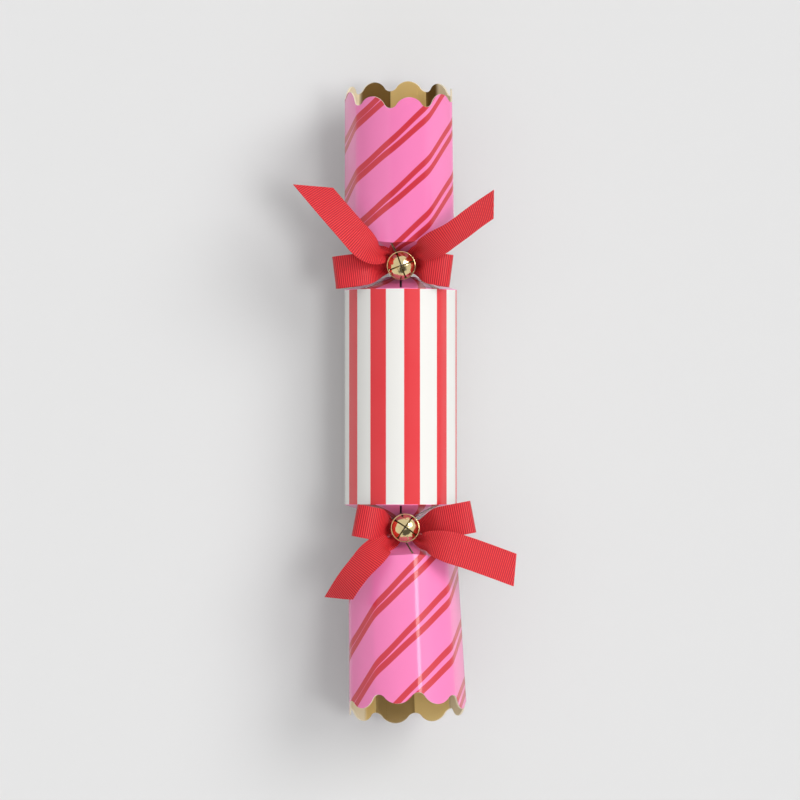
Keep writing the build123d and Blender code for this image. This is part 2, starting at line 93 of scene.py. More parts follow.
class Hold(Enum):
    """How a sheet of ribbon or paper is held."""

    FOLDED = "folded"
    DRAPED = "draped"
    GATHERED = "gathered"


@dataclass(frozen=True)
class Neck:
    """Place of one end: its neck, how its tube is turned, and where its bow is tied."""

    name: EndName
    outward: float
    heading: float
    tilt: float
    knot_x: float
    knot_y: float
    panel_phase: float

    @property
    def centre(self) -> Triple:
        """Middle of the neck in metres."""
        return (0.0, self.outward * NECK_Y * MM, AXIS_Z * MM)

    @property
    def turn(self) -> Triple:
        """Turn of the end tube as Euler angles."""
        return (math.radians(self.tilt), 0.0, math.radians(self.heading))

    @property
    def axis(self) -> Triple:
        """Direction of the end tube away from the barrel.

        Returns:
            A vector of length one.
        """
        tilt, _, heading = self.turn
        level = math.cos(tilt)
        return (-math.sin(heading) * level, math.cos(heading) * level, math.sin(tilt))

    def node(self, piece: str) -> str:
        """Name of one of this end's nodes."""
        return f"{self.name.value}_{piece}"

    @property
    def tie_body(self) -> str:
        """Body that the bow rides on."""
        return self.node("tie")


NECKS = (
    Neck(
        EndName.UPPER,
        outward=1.0,
        heading=0.4,
        tilt=13.0,
        knot_x=0.2,
        knot_y=65.6,
        panel_phase=-10.0,
    ),
    Neck(
        EndName.LOWER,
        outward=-1.0,
        heading=181.9,
        tilt=12.0,
        knot_x=2.2,
        knot_y=-66.0,
        panel_phase=-12.0,
    ),
)


def ramp(distance: np.ndarray, reach: float) -> np.ndarray:
    """Smooth rise from 0 to 1 over a reach.

    Args:
        distance: Distances from where the rise starts.
        reach: Distance over which it rises.

    Returns:
        Shares from 0 to 1.
    """
    share = np.clip(np.asarray(distance, float) / reach, 0.0, 1.0)
    return share * share * (3 - 2 * share)


def unit(vectors: np.ndarray) -> np.ndarray:
    """Vectors of length one along the last axis."""
    return vectors / np.maximum(np.linalg.norm(vectors, axis=-1, keepdims=True), 1e-12)


class SmoothLine:
    """A natural cubic line through points, read by its length."""

    SAMPLES = 1600

    def __init__(self, points: Sequence[Sequence[float]]) -> None:
        """Fit the line.

        Args:
            points: Points that it passes, in millimetres.
        """
        knots = np.array(points, float)
        steps = np.linalg.norm(np.diff(knots, axis=0), axis=1)
        at = np.concatenate(([0.0], np.cumsum(steps)))
        bends = self._bends(at, knots)
        fine = np.linspace(0.0, at[-1], self.SAMPLES)
        self.points = self._sample(fine, at, knots, bends)
        lengths = np.linalg.norm(np.diff(self.points, axis=0), axis=1)
        self.arcs = np.concatenate(([0.0], np.cumsum(lengths)))
        self.length = float(self.arcs[-1])
        self.tangents = unit(np.gradient(self.points, self.arcs, axis=0))

    @staticmethod
    def _bends(at: np.ndarray, knots: np.ndarray) -> np.ndarray:
        """Second derivatives at the points, none at the two ends.

        Args:
            at: Lengths of the chords up to the points.
            knots: The points.

        Returns:
            One second derivative for each point.
        """
        count = len(at)
        steps = np.diff(at)
        matrix, right = np.eye(count), np.zeros((count, 3))
        for i in range(1, count - 1):
            matrix[i, i - 1 : i + 2] = steps[i - 1], 2 * (steps[i - 1] + steps[i]), steps[i]
            ahead = (knots[i + 1] - knots[i]) / steps[i]
            behind = (knots[i] - knots[i - 1]) / steps[i - 1]
            right[i] = 6 * (ahead - behind)
        return np.linalg.solve(matrix, right)

    @staticmethod
    def _sample(
        fine: np.ndarray, at: np.ndarray, knots: np.ndarray, bends: np.ndarray
    ) -> np.ndarray:
        """Points of the cubic pieces.

        Args:
            fine: Where to read them, in chord length.
            at: Lengths of the chords up to the points.
            knots: The points.
            bends: Second derivatives at the points.

        Returns:
            The points that were read.
        """
        i = np.clip(np.searchsorted(at, fine, side="right") - 1, 0, len(at) - 2)
        step = (at[i + 1] - at[i])[:, None]
        a, b = (at[i + 1] - fine)[:, None], (fine - at[i])[:, None]
        cubic = (bends[i] * a**3 + bends[i + 1] * b**3) / (6 * step)
        first = (knots[i] / step - bends[i] * step / 6) * a
        second = (knots[i + 1] / step - bends[i + 1] * step / 6) * b
        return cubic + first + second

    def _read(self, arc: np.ndarray, values: np.ndarray) -> np.ndarray:
        """Values at lengths along the line, held at its ends."""
        inside = np.clip(arc, 0.0, self.length)
        return np.stack([np.interp(inside, self.arcs, values[:, k]) for k in range(3)], axis=-1)

    def at(self, arc: np.ndarray) -> np.ndarray:
        """Points at lengths along the line, straight on past its ends."""
        past = np.asarray(arc) - np.clip(arc, 0.0, self.length)
        return self._read(arc, self.points) + self.along(arc) * past[..., None]

    def along(self, arc: np.ndarray) -> np.ndarray:
        """Directions at lengths along the line."""
        return unit(self._read(arc, self.tangents))


def deselect() -> None:
    """Leave nothing selected, so that an operator acts on the new piece alone."""
    bpy.ops.object.select_all(action="DESELECT")


def apply_modifier(piece: bpy.types.Object, kind: str, **settings: object) -> None:
    """Add a modifier to a piece and apply it.

    Args:
        piece: The piece.
        kind: Modifier type.
        settings: Its values.
    """
    modifier = piece.modifiers.new(kind.lower(), kind)
    for key, value in settings.items():
        setattr(modifier, key, value)
    deselect()
    piece.select_set(True)
    bpy.context.view_layer.objects.active = piece
    bpy.ops.object.modifier_apply(modifier=modifier.name)


@dataclass
class SheetMaker:
    """Makes a thin sheet from a grid that a surface function bends into place."""

    thickness: float = 0.28
    smooth_angle: float = 70.0
    weld: float = 1e-7

    def make(
        self, name: str, rows: int, columns: int, surface: Surface, ring: bool = False
    ) -> bpy.types.Object:
        """Make the sheet.

        Args:
            name: Name of the piece.
            rows: Steps along the sheet.
            columns: Steps across it.
            surface: Gives points in millimetres, and distances along and across in millimetres,
                for shares 0 to 1 along and -0.5 to 0.5 across.
            ring: Whether the sheet's two ends are joined.

        Returns:
            The finished piece.
        """
        deselect()
        bpy.ops.mesh.primitive_grid_add(x_subdivisions=rows, y_subdivisions=columns, size=1.0)
        piece = bpy.context.active_object
        piece.name = piece.data.name = name
        mesh = piece.data
        flat = np.zeros(len(mesh.vertices) * 3)
        mesh.vertices.foreach_get("co", flat)
        flat = flat.reshape(-1, 3)
        points, spans = surface(flat[:, 0] + 0.5, flat[:, 1])
        mesh.vertices.foreach_set("co", (points * MM).ravel())
        corners = np.zeros(len(mesh.loops), int)
        mesh.loops.foreach_get("vertex_index", corners)
        mesh.uv_layers[0].data.foreach_set("uv", (spans[corners] * MM * UV_PER_METRE).ravel())
        mesh.update()
        if ring:
            bpy.ops.object.mode_set(mode="EDIT")
            bpy.ops.mesh.select_all(action="SELECT")
            bpy.ops.mesh.remove_doubles(threshold=self.weld)
            bpy.ops.mesh.normals_make_consistent(inside=False)
            bpy.ops.object.mode_set(mode="OBJECT")
        apply_modifier(piece, "SOLIDIFY", thickness=self.thickness * MM, offset=0.0)
        deselect()
        piece.select_set(True)
        bpy.ops.object.shade_smooth_by_angle(angle=math.radians(self.smooth_angle))
        return piece


class Graph:
    """Writes nodes and links into one node tree."""

    MIX_SOCKETS = {"RGBA": (0, 6, 7, 2), "VECTOR": (0, 4, 5, 1)}

    def __init__(self, tree: bpy.types.NodeTree) -> None:
        """Keep the tree to write in."""
        self.tree = tree

    def add(self, kind: str, **settings: object) -> bpy.types.Node:
        """Add a node.

        Args:
            kind: Type of the node.
            settings: Some of its settings.

        Returns:
            The node.
        """
        node = self.tree.nodes.new(kind)
        for key, value in settings.items():
            setattr(node, key, value)
        return node

    def put(self, target: Socket, value: Value) -> None:
        """Link a socket to an input, or write a plain value in it.

        Args:
            target: The input.
            value: Socket or plain value.
        """
        if isinstance(value, bpy.types.NodeSocket):
            self.tree.links.new(value, target)
        else:
            target.default_value = value

    def fill(self, node: bpy.types.Node, values: Sequence[Value]) -> bpy.types.Node:
        """Fill a node's inputs in their order.

        Args:
            node: The node.
            values: Sockets or plain values for its first inputs.

        Returns:
            The same node.
        """
        for target, value in zip(node.inputs, values):
            self.put(target, value)
        return node

    def math(self, operation: str, *values: Value, clamp: bool = False) -> Socket:
        """Arithmetic on up to three values."""
        node = self.add("ShaderNodeMath", operation=operation, use_clamp=clamp)
        return self.fill(node, values).outputs[0]

    def vector(self, operation: str, *values: Value) -> Socket:
        """Arithmetic on one or two vectors."""
        node = self.fill(self.add("ShaderNodeVectorMath", operation=operation), values)
        return node.outputs["Value" if operation == "DOT_PRODUCT" else "Vector"]

    def parts(self, vector: Socket) -> Sequence[Socket]:
        """The three parts of a vector."""
        return self.fill(self.add("ShaderNodeSeparateXYZ"), (vector,)).outputs

    def mix(self, share: Value, first: Value, second: Value, kind: str = "RGBA") -> Socket:
        """Mix two colours, or two vectors.

        Args:
            share: Share of the second.
            first: The first.
            second: The second.
            kind: Data type of the mix.

        Returns:
            The mixed socket.
        """
        node = self.add("ShaderNodeMix", data_type=kind)
        *inputs, output = self.MIX_SOCKETS[kind]
        for index, value in zip(inputs, (share, first, second)):
            self.put(node.inputs[index], value)
        return node.outputs[output]

    def steps(self, value: Value, low: float, high: float) -> Socket:
        """Smooth rise from 0 to 1 between two values."""
        node = self.add("ShaderNodeMapRange", interpolation_type="SMOOTHSTEP")
        return self.fill(node, (value, low, high)).outputs[0]

    def coordinate(self, name: str) -> Socket:
        """One of the texture coordinates."""
        return self.add("ShaderNodeTexCoord").outputs[name]

    def place(self, centre: Triple, turn: Triple) -> Socket:
        """Object coordinates seen from a place and turn on the cracker."""
        mapping = self.add("ShaderNodeMapping", vector_type="TEXTURE")
        return self.fill(mapping, (self.coordinate("Object"), centre, turn)).outputs[0]

    def group(self, tree: bpy.types.NodeTree, **values: Value) -> bpy.types.Node:
        """Place a shared node group with its own values.

        Args:
            tree: The group.
            values: Its inputs by name, with _ for a space.

        Returns:
            The group's node.
        """
        node = self.add("ShaderNodeGroup", node_tree=tree)
        for key, value in values.items():
            self.put(node.inputs[key.replace("_", " ")], value)
        return node


def set_plain(node: bpy.types.Node, **values: Value) -> None:
    """Write plain values on a node's own inputs, by the inputs' names."""
    for key, value in values.items():
        node.inputs[key.replace("_", " ")].default_value = value


GroupStart = tuple[Graph, bpy.types.Node, bpy.types.Node]


class SharedNodes:
    """The node groups that several finishes use, each built once."""

    EDGE_FACING = (0.45, 0.6)
    GRAIN = (("Fine", 1.0, 4.0), ("Broad", 0.04, 2.0))

    def __init__(self) -> None:
        """Build the groups."""
        self.around = self._around()
        self.line = self._line()
        self.grain = self._grain()
        self.cut_edge = self._cut_edge()

    @staticmethod
    def _start(name: str, inputs: dict[str, str], outputs: Sequence[str]) -> GroupStart:
        """Start a group with named sockets.

        Args:
            name: Name of the group.
            inputs: Socket types by input name, without their common start.
            outputs: Names of its value outputs.

        Returns:
            The graph, its input node and its output node.
        """
        tree = bpy.data.node_groups.new(name, "ShaderNodeTree")
        for key, kind in inputs.items():
            tree.interface.new_socket(key, in_out="INPUT", socket_type=f"NodeSocket{kind}")
        for key in outputs:
            tree.interface.new_socket(key, in_out="OUTPUT", socket_type="NodeSocketFloat")
        graph = Graph(tree)
        return graph, graph.add("NodeGroupInput"), graph.add("NodeGroupOutput")

    def _around(self) -> bpy.types.NodeTree:
        """Turn round the Y axis from the top, and distance along it.

        Returns:
            The node group.
        """
        graph, source, sink = self._start("around_axis", {"Vector": "Vector"}, ("Turn", "Along"))
        across, along, up = graph.parts(source.outputs["Vector"])
        turn = graph.math("DIVIDE", graph.math("ARCTAN2", across, up), math.tau)
        graph.put(sink.inputs["Turn"], turn)
        graph.put(sink.inputs["Along"], along)
        return graph.tree

    def _line(self) -> bpy.types.NodeTree:
        """Printed line in a repeating phase, with a soft ink edge.

        Returns:
            The node group.
        """
        names = ("Phase", "Centre", "Half Width", "Softness")
        graph, source, sink = self._start("printed_line", dict.fromkeys(names, "Float"), ("Mask",))
        phase, centre, half_width, softness = (source.outputs[name] for name in names)
        wrapped = graph.math("WRAP", graph.math("SUBTRACT", phase, centre), 0.5, -0.5)
        inside = graph.math("SUBTRACT", half_width, graph.math("ABSOLUTE", wrapped))
        soft = graph.math("DIVIDE", inside, softness)
        graph.put(sink.inputs["Mask"], graph.math("ADD", soft, 0.5, clamp=True))
        return graph.tree

    def _grain(self) -> bpy.types.NodeTree:
        """Fine paper grain with a broad waviness.

        Returns:
            The node group.
        """
        inputs = {"Vector": "Vector", "Scale": "Float"}
        graph, source, sink = self._start("paper_grain", inputs, ("Fine", "Broad"))
        for name, factor, detail in self.GRAIN:
            scale = graph.math("MULTIPLY", source.outputs["Scale"], factor)
            noise = graph.add("ShaderNodeTexNoise")
            set_plain(noise, Detail=detail)
            graph.put(noise.inputs["Vector"], source.outputs["Vector"])
            graph.put(noise.inputs["Scale"], scale)
            graph.put(sink.inputs[name], noise.outputs["Fac"])
        return graph.tree

    def _cut_edge(self) -> bpy.types.NodeTree:
        """Masks of the cut edge that faces along an axis, and of the side that faces inward.

        Returns:
            The node group.
        """
        inputs = dict.fromkeys(("Normal", "Axis", "Vector"), "Vector")
        graph, source, sink = self._start("cut_edge", inputs, ("Edge", "Inside"))
        normal = source.outputs["Normal"]
        along = graph.vector("DOT_PRODUCT", normal, source.outputs["Axis"])
        graph.put(sink.inputs["Edge"], graph.steps(along, *self.EDGE_FACING))
        outward = graph.vector("DOT_PRODUCT", normal, source.outputs["Vector"])
        graph.put(sink.inputs["Inside"], graph.math("LESS_THAN", outward, 0.0))
        return graph.tree


class Ink(Enum):
    """Colours of the cracker, linear."""

    PINK = (1.0, 0.23, 0.53, 1.0)
    LINE_RED = (0.68, 0.026, 0.048, 1.0)
    STRIPE_RED = (0.80, 0.016, 0.027, 1.0)
    STRIPE_WHITE = (0.885, 0.875, 0.84, 1.0)
    CARD_BACK = (0.80, 0.76, 0.70, 1.0)
    CUT_EDGE = (0.86, 0.74, 0.55, 1.0)
    RIBBON = (0.98, 0.058, 0.064, 1.0)
    # Painted shade of the ribbon's valleys, also the dark end of its random mottle.
    RIBBON_VALLEY = (0.45, 0.001, 0.014, 1.0)
    GOLD = (1.0, 0.78, 0.36, 1.0)
    # Painted dark reflection and painted pale highlight of the gold foil.
    GOLD_PAINTED_DARK_REFLECTION = (0.22, 0.13, 0.04, 1.0)
    GOLD_PAINTED_HIGHLIGHT = (1.0, 0.86, 0.62, 1.0)
    BRASS = (0.90, 0.72, 0.38, 1.0)
    STEEL = (0.55, 0.55, 0.57, 1.0)
    SNAP_CARD = (0.50, 0.42, 0.30, 1.0)
    SNAP_PATCH = (0.10, 0.06, 0.045, 1.0)
    SLEEVE = (0.66, 0.55, 0.38, 1.0)
    TISSUE = (0.72, 0.10, 0.22, 1.0)
    MOTTO = (0.86, 0.84, 0.78, 1.0)
    TOP_RED = (0.48, 0.03, 0.025, 1.0)
    PEG_WOOD = (0.62, 0.40, 0.19, 1.0)
    BOUNCE = (0.60, 0.60, 0.60, 1.0)
    FLOOR = (0.78, 0.78, 0.78, 1.0)

    def darker(self, share: float) -> list[float]:
        """The colour with its light cut to a share."""
        return [part * share for part in self.value[:3]] + [1.0]


@dataclass(frozen=True)
class Finish:
    """A named material whose main shader is filled by its kind."""

    name: str
    shared: SharedNodes

    def build(self) -> bpy.types.Material:
        """Make the material and fill its main shader.

        Returns:
            The material.
        """
        material = bpy.data.materials.new(f"{self.name}_finish")
        material.use_nodes = True
        self.paint(Graph(material.node_tree), material.node_tree.nodes["Principled BSDF"])
        return material

    def paint(self, graph: Graph, shader: bpy.types.Node) -> None:
        """Fill the main shader, which each kind of finish does in its own way."""
        raise NotImplementedError

    @staticmethod
    def bump(
        graph: Graph, shader: bpy.types.Node, height: Socket, distance: float
    ) -> bpy.types.Node:
        """Feed a height to the shader's normal.

        Args:
            graph: Graph of the material.
            shader: Its main shader.
            height: Height from 0 to 1.
            distance: What a height of 1 stands for, in metres.

        Returns:
            The bump node.
        """
        node = graph.add("ShaderNodeBump")
        set_plain(node, Distance=distance)
        graph.put(node.inputs["Height"], height)
        graph.put(shader.inputs["Normal"], node.outputs["Normal"])
        return node

    @staticmethod
    def colour(graph: Graph, shader: bpy.types.Node, colour: Socket, muted: float = 0.8) -> None:
        """Feed a colour to the shader, muted for the light that it throws on what is near.

        Args:
            graph: Graph of the material.
            shader: Its main shader.
            colour: The colour.
            muted: Share of grey in the light that it throws back.
        """
        path = graph.add("ShaderNodeLightPath")
        share = graph.math("MULTIPLY", path.outputs["Is Diffuse Ray"], muted)
        graph.put(shader.inputs["Base Color"], graph.mix(share, colour, Ink.BOUNCE.value))

    def grain(self, graph: Graph, scale: float) -> bpy.types.Node:
        """Place the shared grain on Object coordinates."""
        return graph.group(self.shared.grain, Vector=graph.coordinate("Object"), Scale=scale)


@dataclass(frozen=True)
class SpiralPrint:
    """Paired red lines that wind up a tube on a pink ground."""

    pitch: float
    starts: float
    phase: float
    sway: float
    gap: float = 0.095
    half_width: float = 0.068

    def colour(self, graph: Graph, shared: SharedNodes, turn: Socket, along: Socket) -> Socket:
        """Colour of the print.

        Args:
            graph: Graph of the material.
            shared: Shared node groups.
            turn: Turn round the tube.
            along: Distance along it in metres.

        Returns:
            The colour socket.
        """
        wound = graph.math("MULTIPLY_ADD", turn, -self.starts, self.phase)
        phase = graph.math("MULTIPLY_ADD", along, 1.0 / (self.pitch * MM), wound)
        swing = graph.math("SINE", graph.math("MULTIPLY", turn, 2 * math.tau))
        colour: Value = Ink.PINK.value
        for sign in (-1.0, 1.0):
            centre = graph.math("MULTIPLY_ADD", swing, sign * self.sway, sign * self.gap)
            line = graph.group(
                shared.line,
                Phase=phase,
                Centre=centre,
                Half_Width=self.half_width,
                Softness=INK_EDGE,
            )
            colour = graph.mix(line.outputs["Mask"], colour, Ink.LINE_RED.value)
        return colour


@dataclass(frozen=True)
class GlossCard(Finish):
    """Printed card under a clear gloss, with paper back and cut edges."""

    centre: Triple
    turn: Triple
    axis: Triple
    spiral: SpiralPrint
    stripes: int = 0
    stripe_start: float = 3.3
    stripe_share: float = 0.475
    stripe_end: float = CREASE_Y - 0.35
    stripe_fade: float = 0.15
    roundness: float = 0.92
    upright: tuple[float, float] = (0.80, 0.90)
    grain_scale: float = 900.0
    mottle: float = 0.03
    waviness: float = 0.00012
    roughness: float = 0.30
    specular: float = 0.1
    coat: float = 1.0
    coat_roughness: float = 0.15

    def paint(self, graph: Graph, shader: bpy.types.Node) -> None:
        """Fill the main shader.

        Args:
            graph: Graph of the material.
            shader: Its main shader.
        """
        around = graph.group(self.shared.around, Vector=graph.place(self.centre, self.turn))
        turn, along = around.outputs["Turn"], around.outputs["Along"]
        if self.stripes:
            out = graph.math("ABSOLUTE", along)
            away = graph.math("SUBTRACT", out, CREASE_Y * MM)
            colour = self.spiral.colour(graph, self.shared, turn, away)
            colour = self._stripe(graph, turn, out, colour)
        else:
            colour = self.spiral.colour(graph, self.shared, turn, along)
        grain = self.grain(graph, self.grain_scale)
        mottle = graph.math("MULTIPLY", grain.outputs["Broad"], self.mottle)
        colour = graph.mix(mottle, colour, Ink.STRIPE_WHITE.value)
        normal, outward = graph.coordinate("Normal"), self._outward(graph)
        sides = graph.group(self.shared.cut_edge, Normal=normal, Axis=self.axis, Vector=outward)
        colour = graph.mix(sides.outputs["Inside"], colour, Ink.CARD_BACK.value)
        if not self.stripes:
            colour = graph.mix(sides.outputs["Edge"], colour, Ink.CUT_EDGE.value)
        self.colour(graph, shader, colour)
        set_plain(shader, Roughness=self.roughness, Specular_IOR_Level=self.specular)
        set_plain(shader, Coat_Weight=self.coat, Coat_Roughness=self.coat_roughness)
        bump = self.bump(graph, shader, grain.outputs["Broad"], self.waviness)
        graph.put(bump.inputs["Normal"], self._rounded(graph, normal, outward))

    def _rounded(self, graph: Graph, normal: Socket, outward: Socket) -> Socket:
        """Soften the panels' normal toward that of a round tube where they stand upright on it.

        Args:
            graph: Graph of the material.
            normal: Normal of the panels.
            outward: Direction away from the tube's axis.

        Returns:
            The softened normal in world space.
        """
        away = graph.vector("NORMALIZE", outward)
        upright = graph.steps(graph.vector("DOT_PRODUCT", normal, away), *self.upright)
        share = graph.math("MULTIPLY", upright, self.roundness)
        turned = graph.add(
            "ShaderNodeVectorTransform",
            vector_type="NORMAL",
            convert_from="OBJECT",
            convert_to="WORLD",
        )
        return graph.fill(turned, (graph.mix(share, normal, away, "VECTOR"),)).outputs[0]

    def _stripe(self, graph: Graph, turn: Socket, out: Socket, colour: Socket) -> Socket:
        """Lay lengthwise red and white stripes over the barrel between its creases.

        Args:
            graph: Graph of the material.
            turn: Turn round the barrel.
            out: Distance from its middle in metres.
            colour: Colour beyond the creases.

        Returns:
            The colour socket.
        """
        start = self.stripe_start / FULL_TURN * self.stripes
        half = self.stripe_share / 2
        phase = graph.math("MULTIPLY_ADD", turn, float(self.stripes), -start)
        line = graph.group(
            self.shared.line, Phase=phase, Centre=half, Half_Width=half, Softness=INK_EDGE
        )
        barrel = graph.mix(line.outputs["Mask"], Ink.STRIPE_WHITE.value, Ink.STRIPE_RED.value)
        end = self.stripe_end
        past = graph.steps(out, end * MM, (end + self.stripe_fade) * MM)
        return graph.mix(past, barrel, colour)

    def _outward(self, graph: Graph) -> Socket:
        """Direction away from the tube's axis, in the piece's own coordinates."""
        away = graph.vector("SUBTRACT", graph.coordinate("Object"), self.centre)
        return graph.vector("SUBTRACT", away, graph.vector("PROJECT", away, self.axis))


@dataclass(frozen=True)
class Metal(Finish):
    """Brass or steel with a faint unevenness of its polish."""

    ink: Ink
    roughness: float
    spread: float
    dent: float
    grain_scale: float
    shade: float = 0.86

    def paint(self, graph: Graph, shader: bpy.types.Node) -> None:
        """Fill the main shader.

        Args:
            graph: Graph of the material.
            shader: Its main shader.
        """
        grain = self.grain(graph, self.grain_scale)
        colour = graph.mix(grain.outputs["Broad"], self.ink.value, self.ink.darker(self.shade))
        graph.put(shader.inputs["Base Color"], colour)
        set_plain(shader, Metallic=1.0)
        rough = graph.math("MULTIPLY_ADD", grain.outputs["Fine"], self.spread, self.roughness)
        graph.put(shader.inputs["Roughness"], rough)
        self.bump(graph, shader, grain.outputs["Broad"], self.dent)


@dataclass(frozen=True)
class Foil(Finish):
    """Gold foil of flat panels, with painted reflections: dark alternate panels, pale flanks."""

    centre: Triple
    turn: Triple
    phase: float
    first: float
    least_painted_reflection: float
    panels: int = 9
    painted_flank_highlight: tuple[float, float] = (0.72, 0.62)
    metallic: float = 0.5
    roughness: float = 0.22
    grain_scale: float = 400.0
    dent: float = 0.00010

    def paint(self, graph: Graph, shader: bpy.types.Node) -> None:
        """Fill the main shader.

        Args:
            graph: Graph of the material.
            shader: Its main shader.
        """
        around = graph.group(self.shared.around, Vector=graph.place(self.centre, self.turn))
        turn = around.outputs["Turn"]
        # Painted reflection: every second panel is painted dark gold and the others bright, as if
        # each mirrored something else.
        start = -self.phase / FULL_TURN * self.panels
        panel = graph.math("FLOOR", graph.math("MULTIPLY_ADD", turn, float(self.panels), start))
        panel = graph.math("FLOORED_MODULO", panel, float(self.panels))
        painted_reflection_panels = graph.math("PINGPONG", graph.math("ADD", panel, self.first), 1.0)
        tone = graph.math("MULTIPLY_ADD", painted_reflection_panels, 1.0 - self.least_painted_reflection, self.least_painted_reflection)
        colour = graph.mix(tone, Ink.GOLD_PAINTED_DARK_REFLECTION.value, Ink.GOLD.value)
        # Painted highlight: on the panels at the sides of the tube the foil is painted pale gold and
        # made less metallic.
        facing = graph.math("COSINE", graph.math("MULTIPLY", turn, math.tau))
        painted_flank_highlight = graph.steps(graph.math("ABSOLUTE", facing), *self.painted_flank_highlight)
        colour = graph.mix(painted_flank_highlight, colour, Ink.GOLD_PAINTED_HIGHLIGHT.value)
        graph.put(shader.inputs["Base Color"], colour)
        metallic = graph.math("MULTIPLY_ADD", painted_flank_highlight, -self.metallic, self.metallic)
        graph.put(shader.inputs["Metallic"], metallic)
        set_plain(shader, Roughness=self.roughness)
        grain = self.grain(graph, self.grain_scale)
        self.bump(graph, shader, grain.outputs["Broad"], self.dent)


@dataclass(frozen=True)
class Grosgrain(Finish):
    """Ribbed ribbon: raised cords across it, fine warp threads over them, and painted shade between
    the cords.
    """

    rib: float = 1.05
    warp: float = 0.22
    warp_share: float = 0.25
    relief: float = 0.00008
    mottle: float = 0.25
    grain_scale: float = 2500.0
    roughness: float = 0.50
    rib_polish: float = 0.15
    specular: float = 0.35

    def paint(self, graph: Graph, shader: bpy.types.Node) -> None:
        """Fill the main shader.

        Args:
            graph: Graph of the material.
            shader: Its main shader.
        """
        along, across, _ = graph.parts(graph.coordinate("UV"))
        rib = self._wave(graph, along, self.rib)
        warp = self._wave(graph, across, self.warp)
        grain = self.grain(graph, self.grain_scale)
        # Painted shade: the valleys between the cords are painted darker than their crests; the
        # random mottle below darkens toward the same colour.
        colour = graph.mix(rib, Ink.RIBBON_VALLEY.value, Ink.RIBBON.value)
        tone = graph.math("MULTIPLY", grain.outputs["Fine"], self.mottle)
        colour = graph.mix(tone, colour, Ink.RIBBON_VALLEY.value)
        self.colour(graph, shader, colour)
        rough = graph.math("MULTIPLY_ADD", rib, -self.rib_polish, self.roughness)
        graph.put(shader.inputs["Roughness"], rough)
        set_plain(shader, Specular_IOR_Level=self.specular)
        cords = graph.math("MULTIPLY", rib, 1.0 - self.warp_share)
        height = graph.math("MULTIPLY_ADD", warp, self.warp_share, cords)
        self.bump(graph, shader, height, self.relief)

    @staticmethod
    def _wave(graph: Graph, distance: Socket, pitch: float) -> Socket:
        """Wave across the ribbon's UV map.

        Args:
            graph: Graph of the material.
            distance: One of the UV coordinates.
            pitch: Pitch of the wave in millimetres.

        Returns:
            The wave, from 0 to 1.
        """
        waves = math.tau / (pitch * MM * UV_PER_METRE)
        swing = graph.math("COSINE", graph.math("MULTIPLY", distance, waves))
        return graph.math("MULTIPLY_ADD", swing, -0.5, 0.5)


@dataclass(frozen=True)
class Paper(Finish):
    """Plain paper or card with fibres."""

    ink: Ink
    roughness: float
    grain_scale: float = 1500.0
    fibres: float = 0.6
    shade: float = 0.7
    relief: float = 0.00005

    def paint(self, graph: Graph, shader: bpy.types.Node) -> None:
        """Fill the main shader.

        Args:
            graph: Graph of the material.
            shader: Its main shader.
        """
        grain = self.grain(graph, self.grain_scale)
        fibres = graph.math("MULTIPLY", grain.outputs["Fine"], self.fibres)
        colour = graph.mix(fibres, self.ink.value, self.ink.darker(self.shade))
        graph.put(shader.inputs["Base Color"], colour)
        set_plain(shader, Roughness=self.roughness)
        self.bump(graph, shader, grain.outputs["Fine"], self.relief)


@dataclass(frozen=True)
class TurnedWood(Finish):
    """Turned wood: growth rings across the grain, raw or under lacquer."""

    ink: Ink
    coat: float
    coat_roughness: float = 0.15
    roughness: float = 0.5
    ring_scale: float = 180.0
    ring_sway: float = 3.0
    shade: float = 0.6
    relief: float = 0.00004

    def paint(self, graph: Graph, shader: bpy.types.Node) -> None:
        """Fill the main shader.

        Args:
            graph: Graph of the material.
            shader: Its main shader.
        """
        rings = graph.add("ShaderNodeTexWave", wave_type="BANDS", bands_direction="X")
        set_plain(rings, Scale=self.ring_scale, Distortion=self.ring_sway)
        graph.put(rings.inputs["Vector"], graph.coordinate("Object"))
        colour = graph.mix(rings.outputs["Fac"], self.ink.value, self.ink.darker(self.shade))
        graph.put(shader.inputs["Base Color"], colour)
        set_plain(shader, Roughness=self.roughness)
        set_plain(shader, Coat_Weight=self.coat, Coat_Roughness=self.coat_roughness)
        self.bump(graph, shader, rings.outputs["Fac"], self.relief)


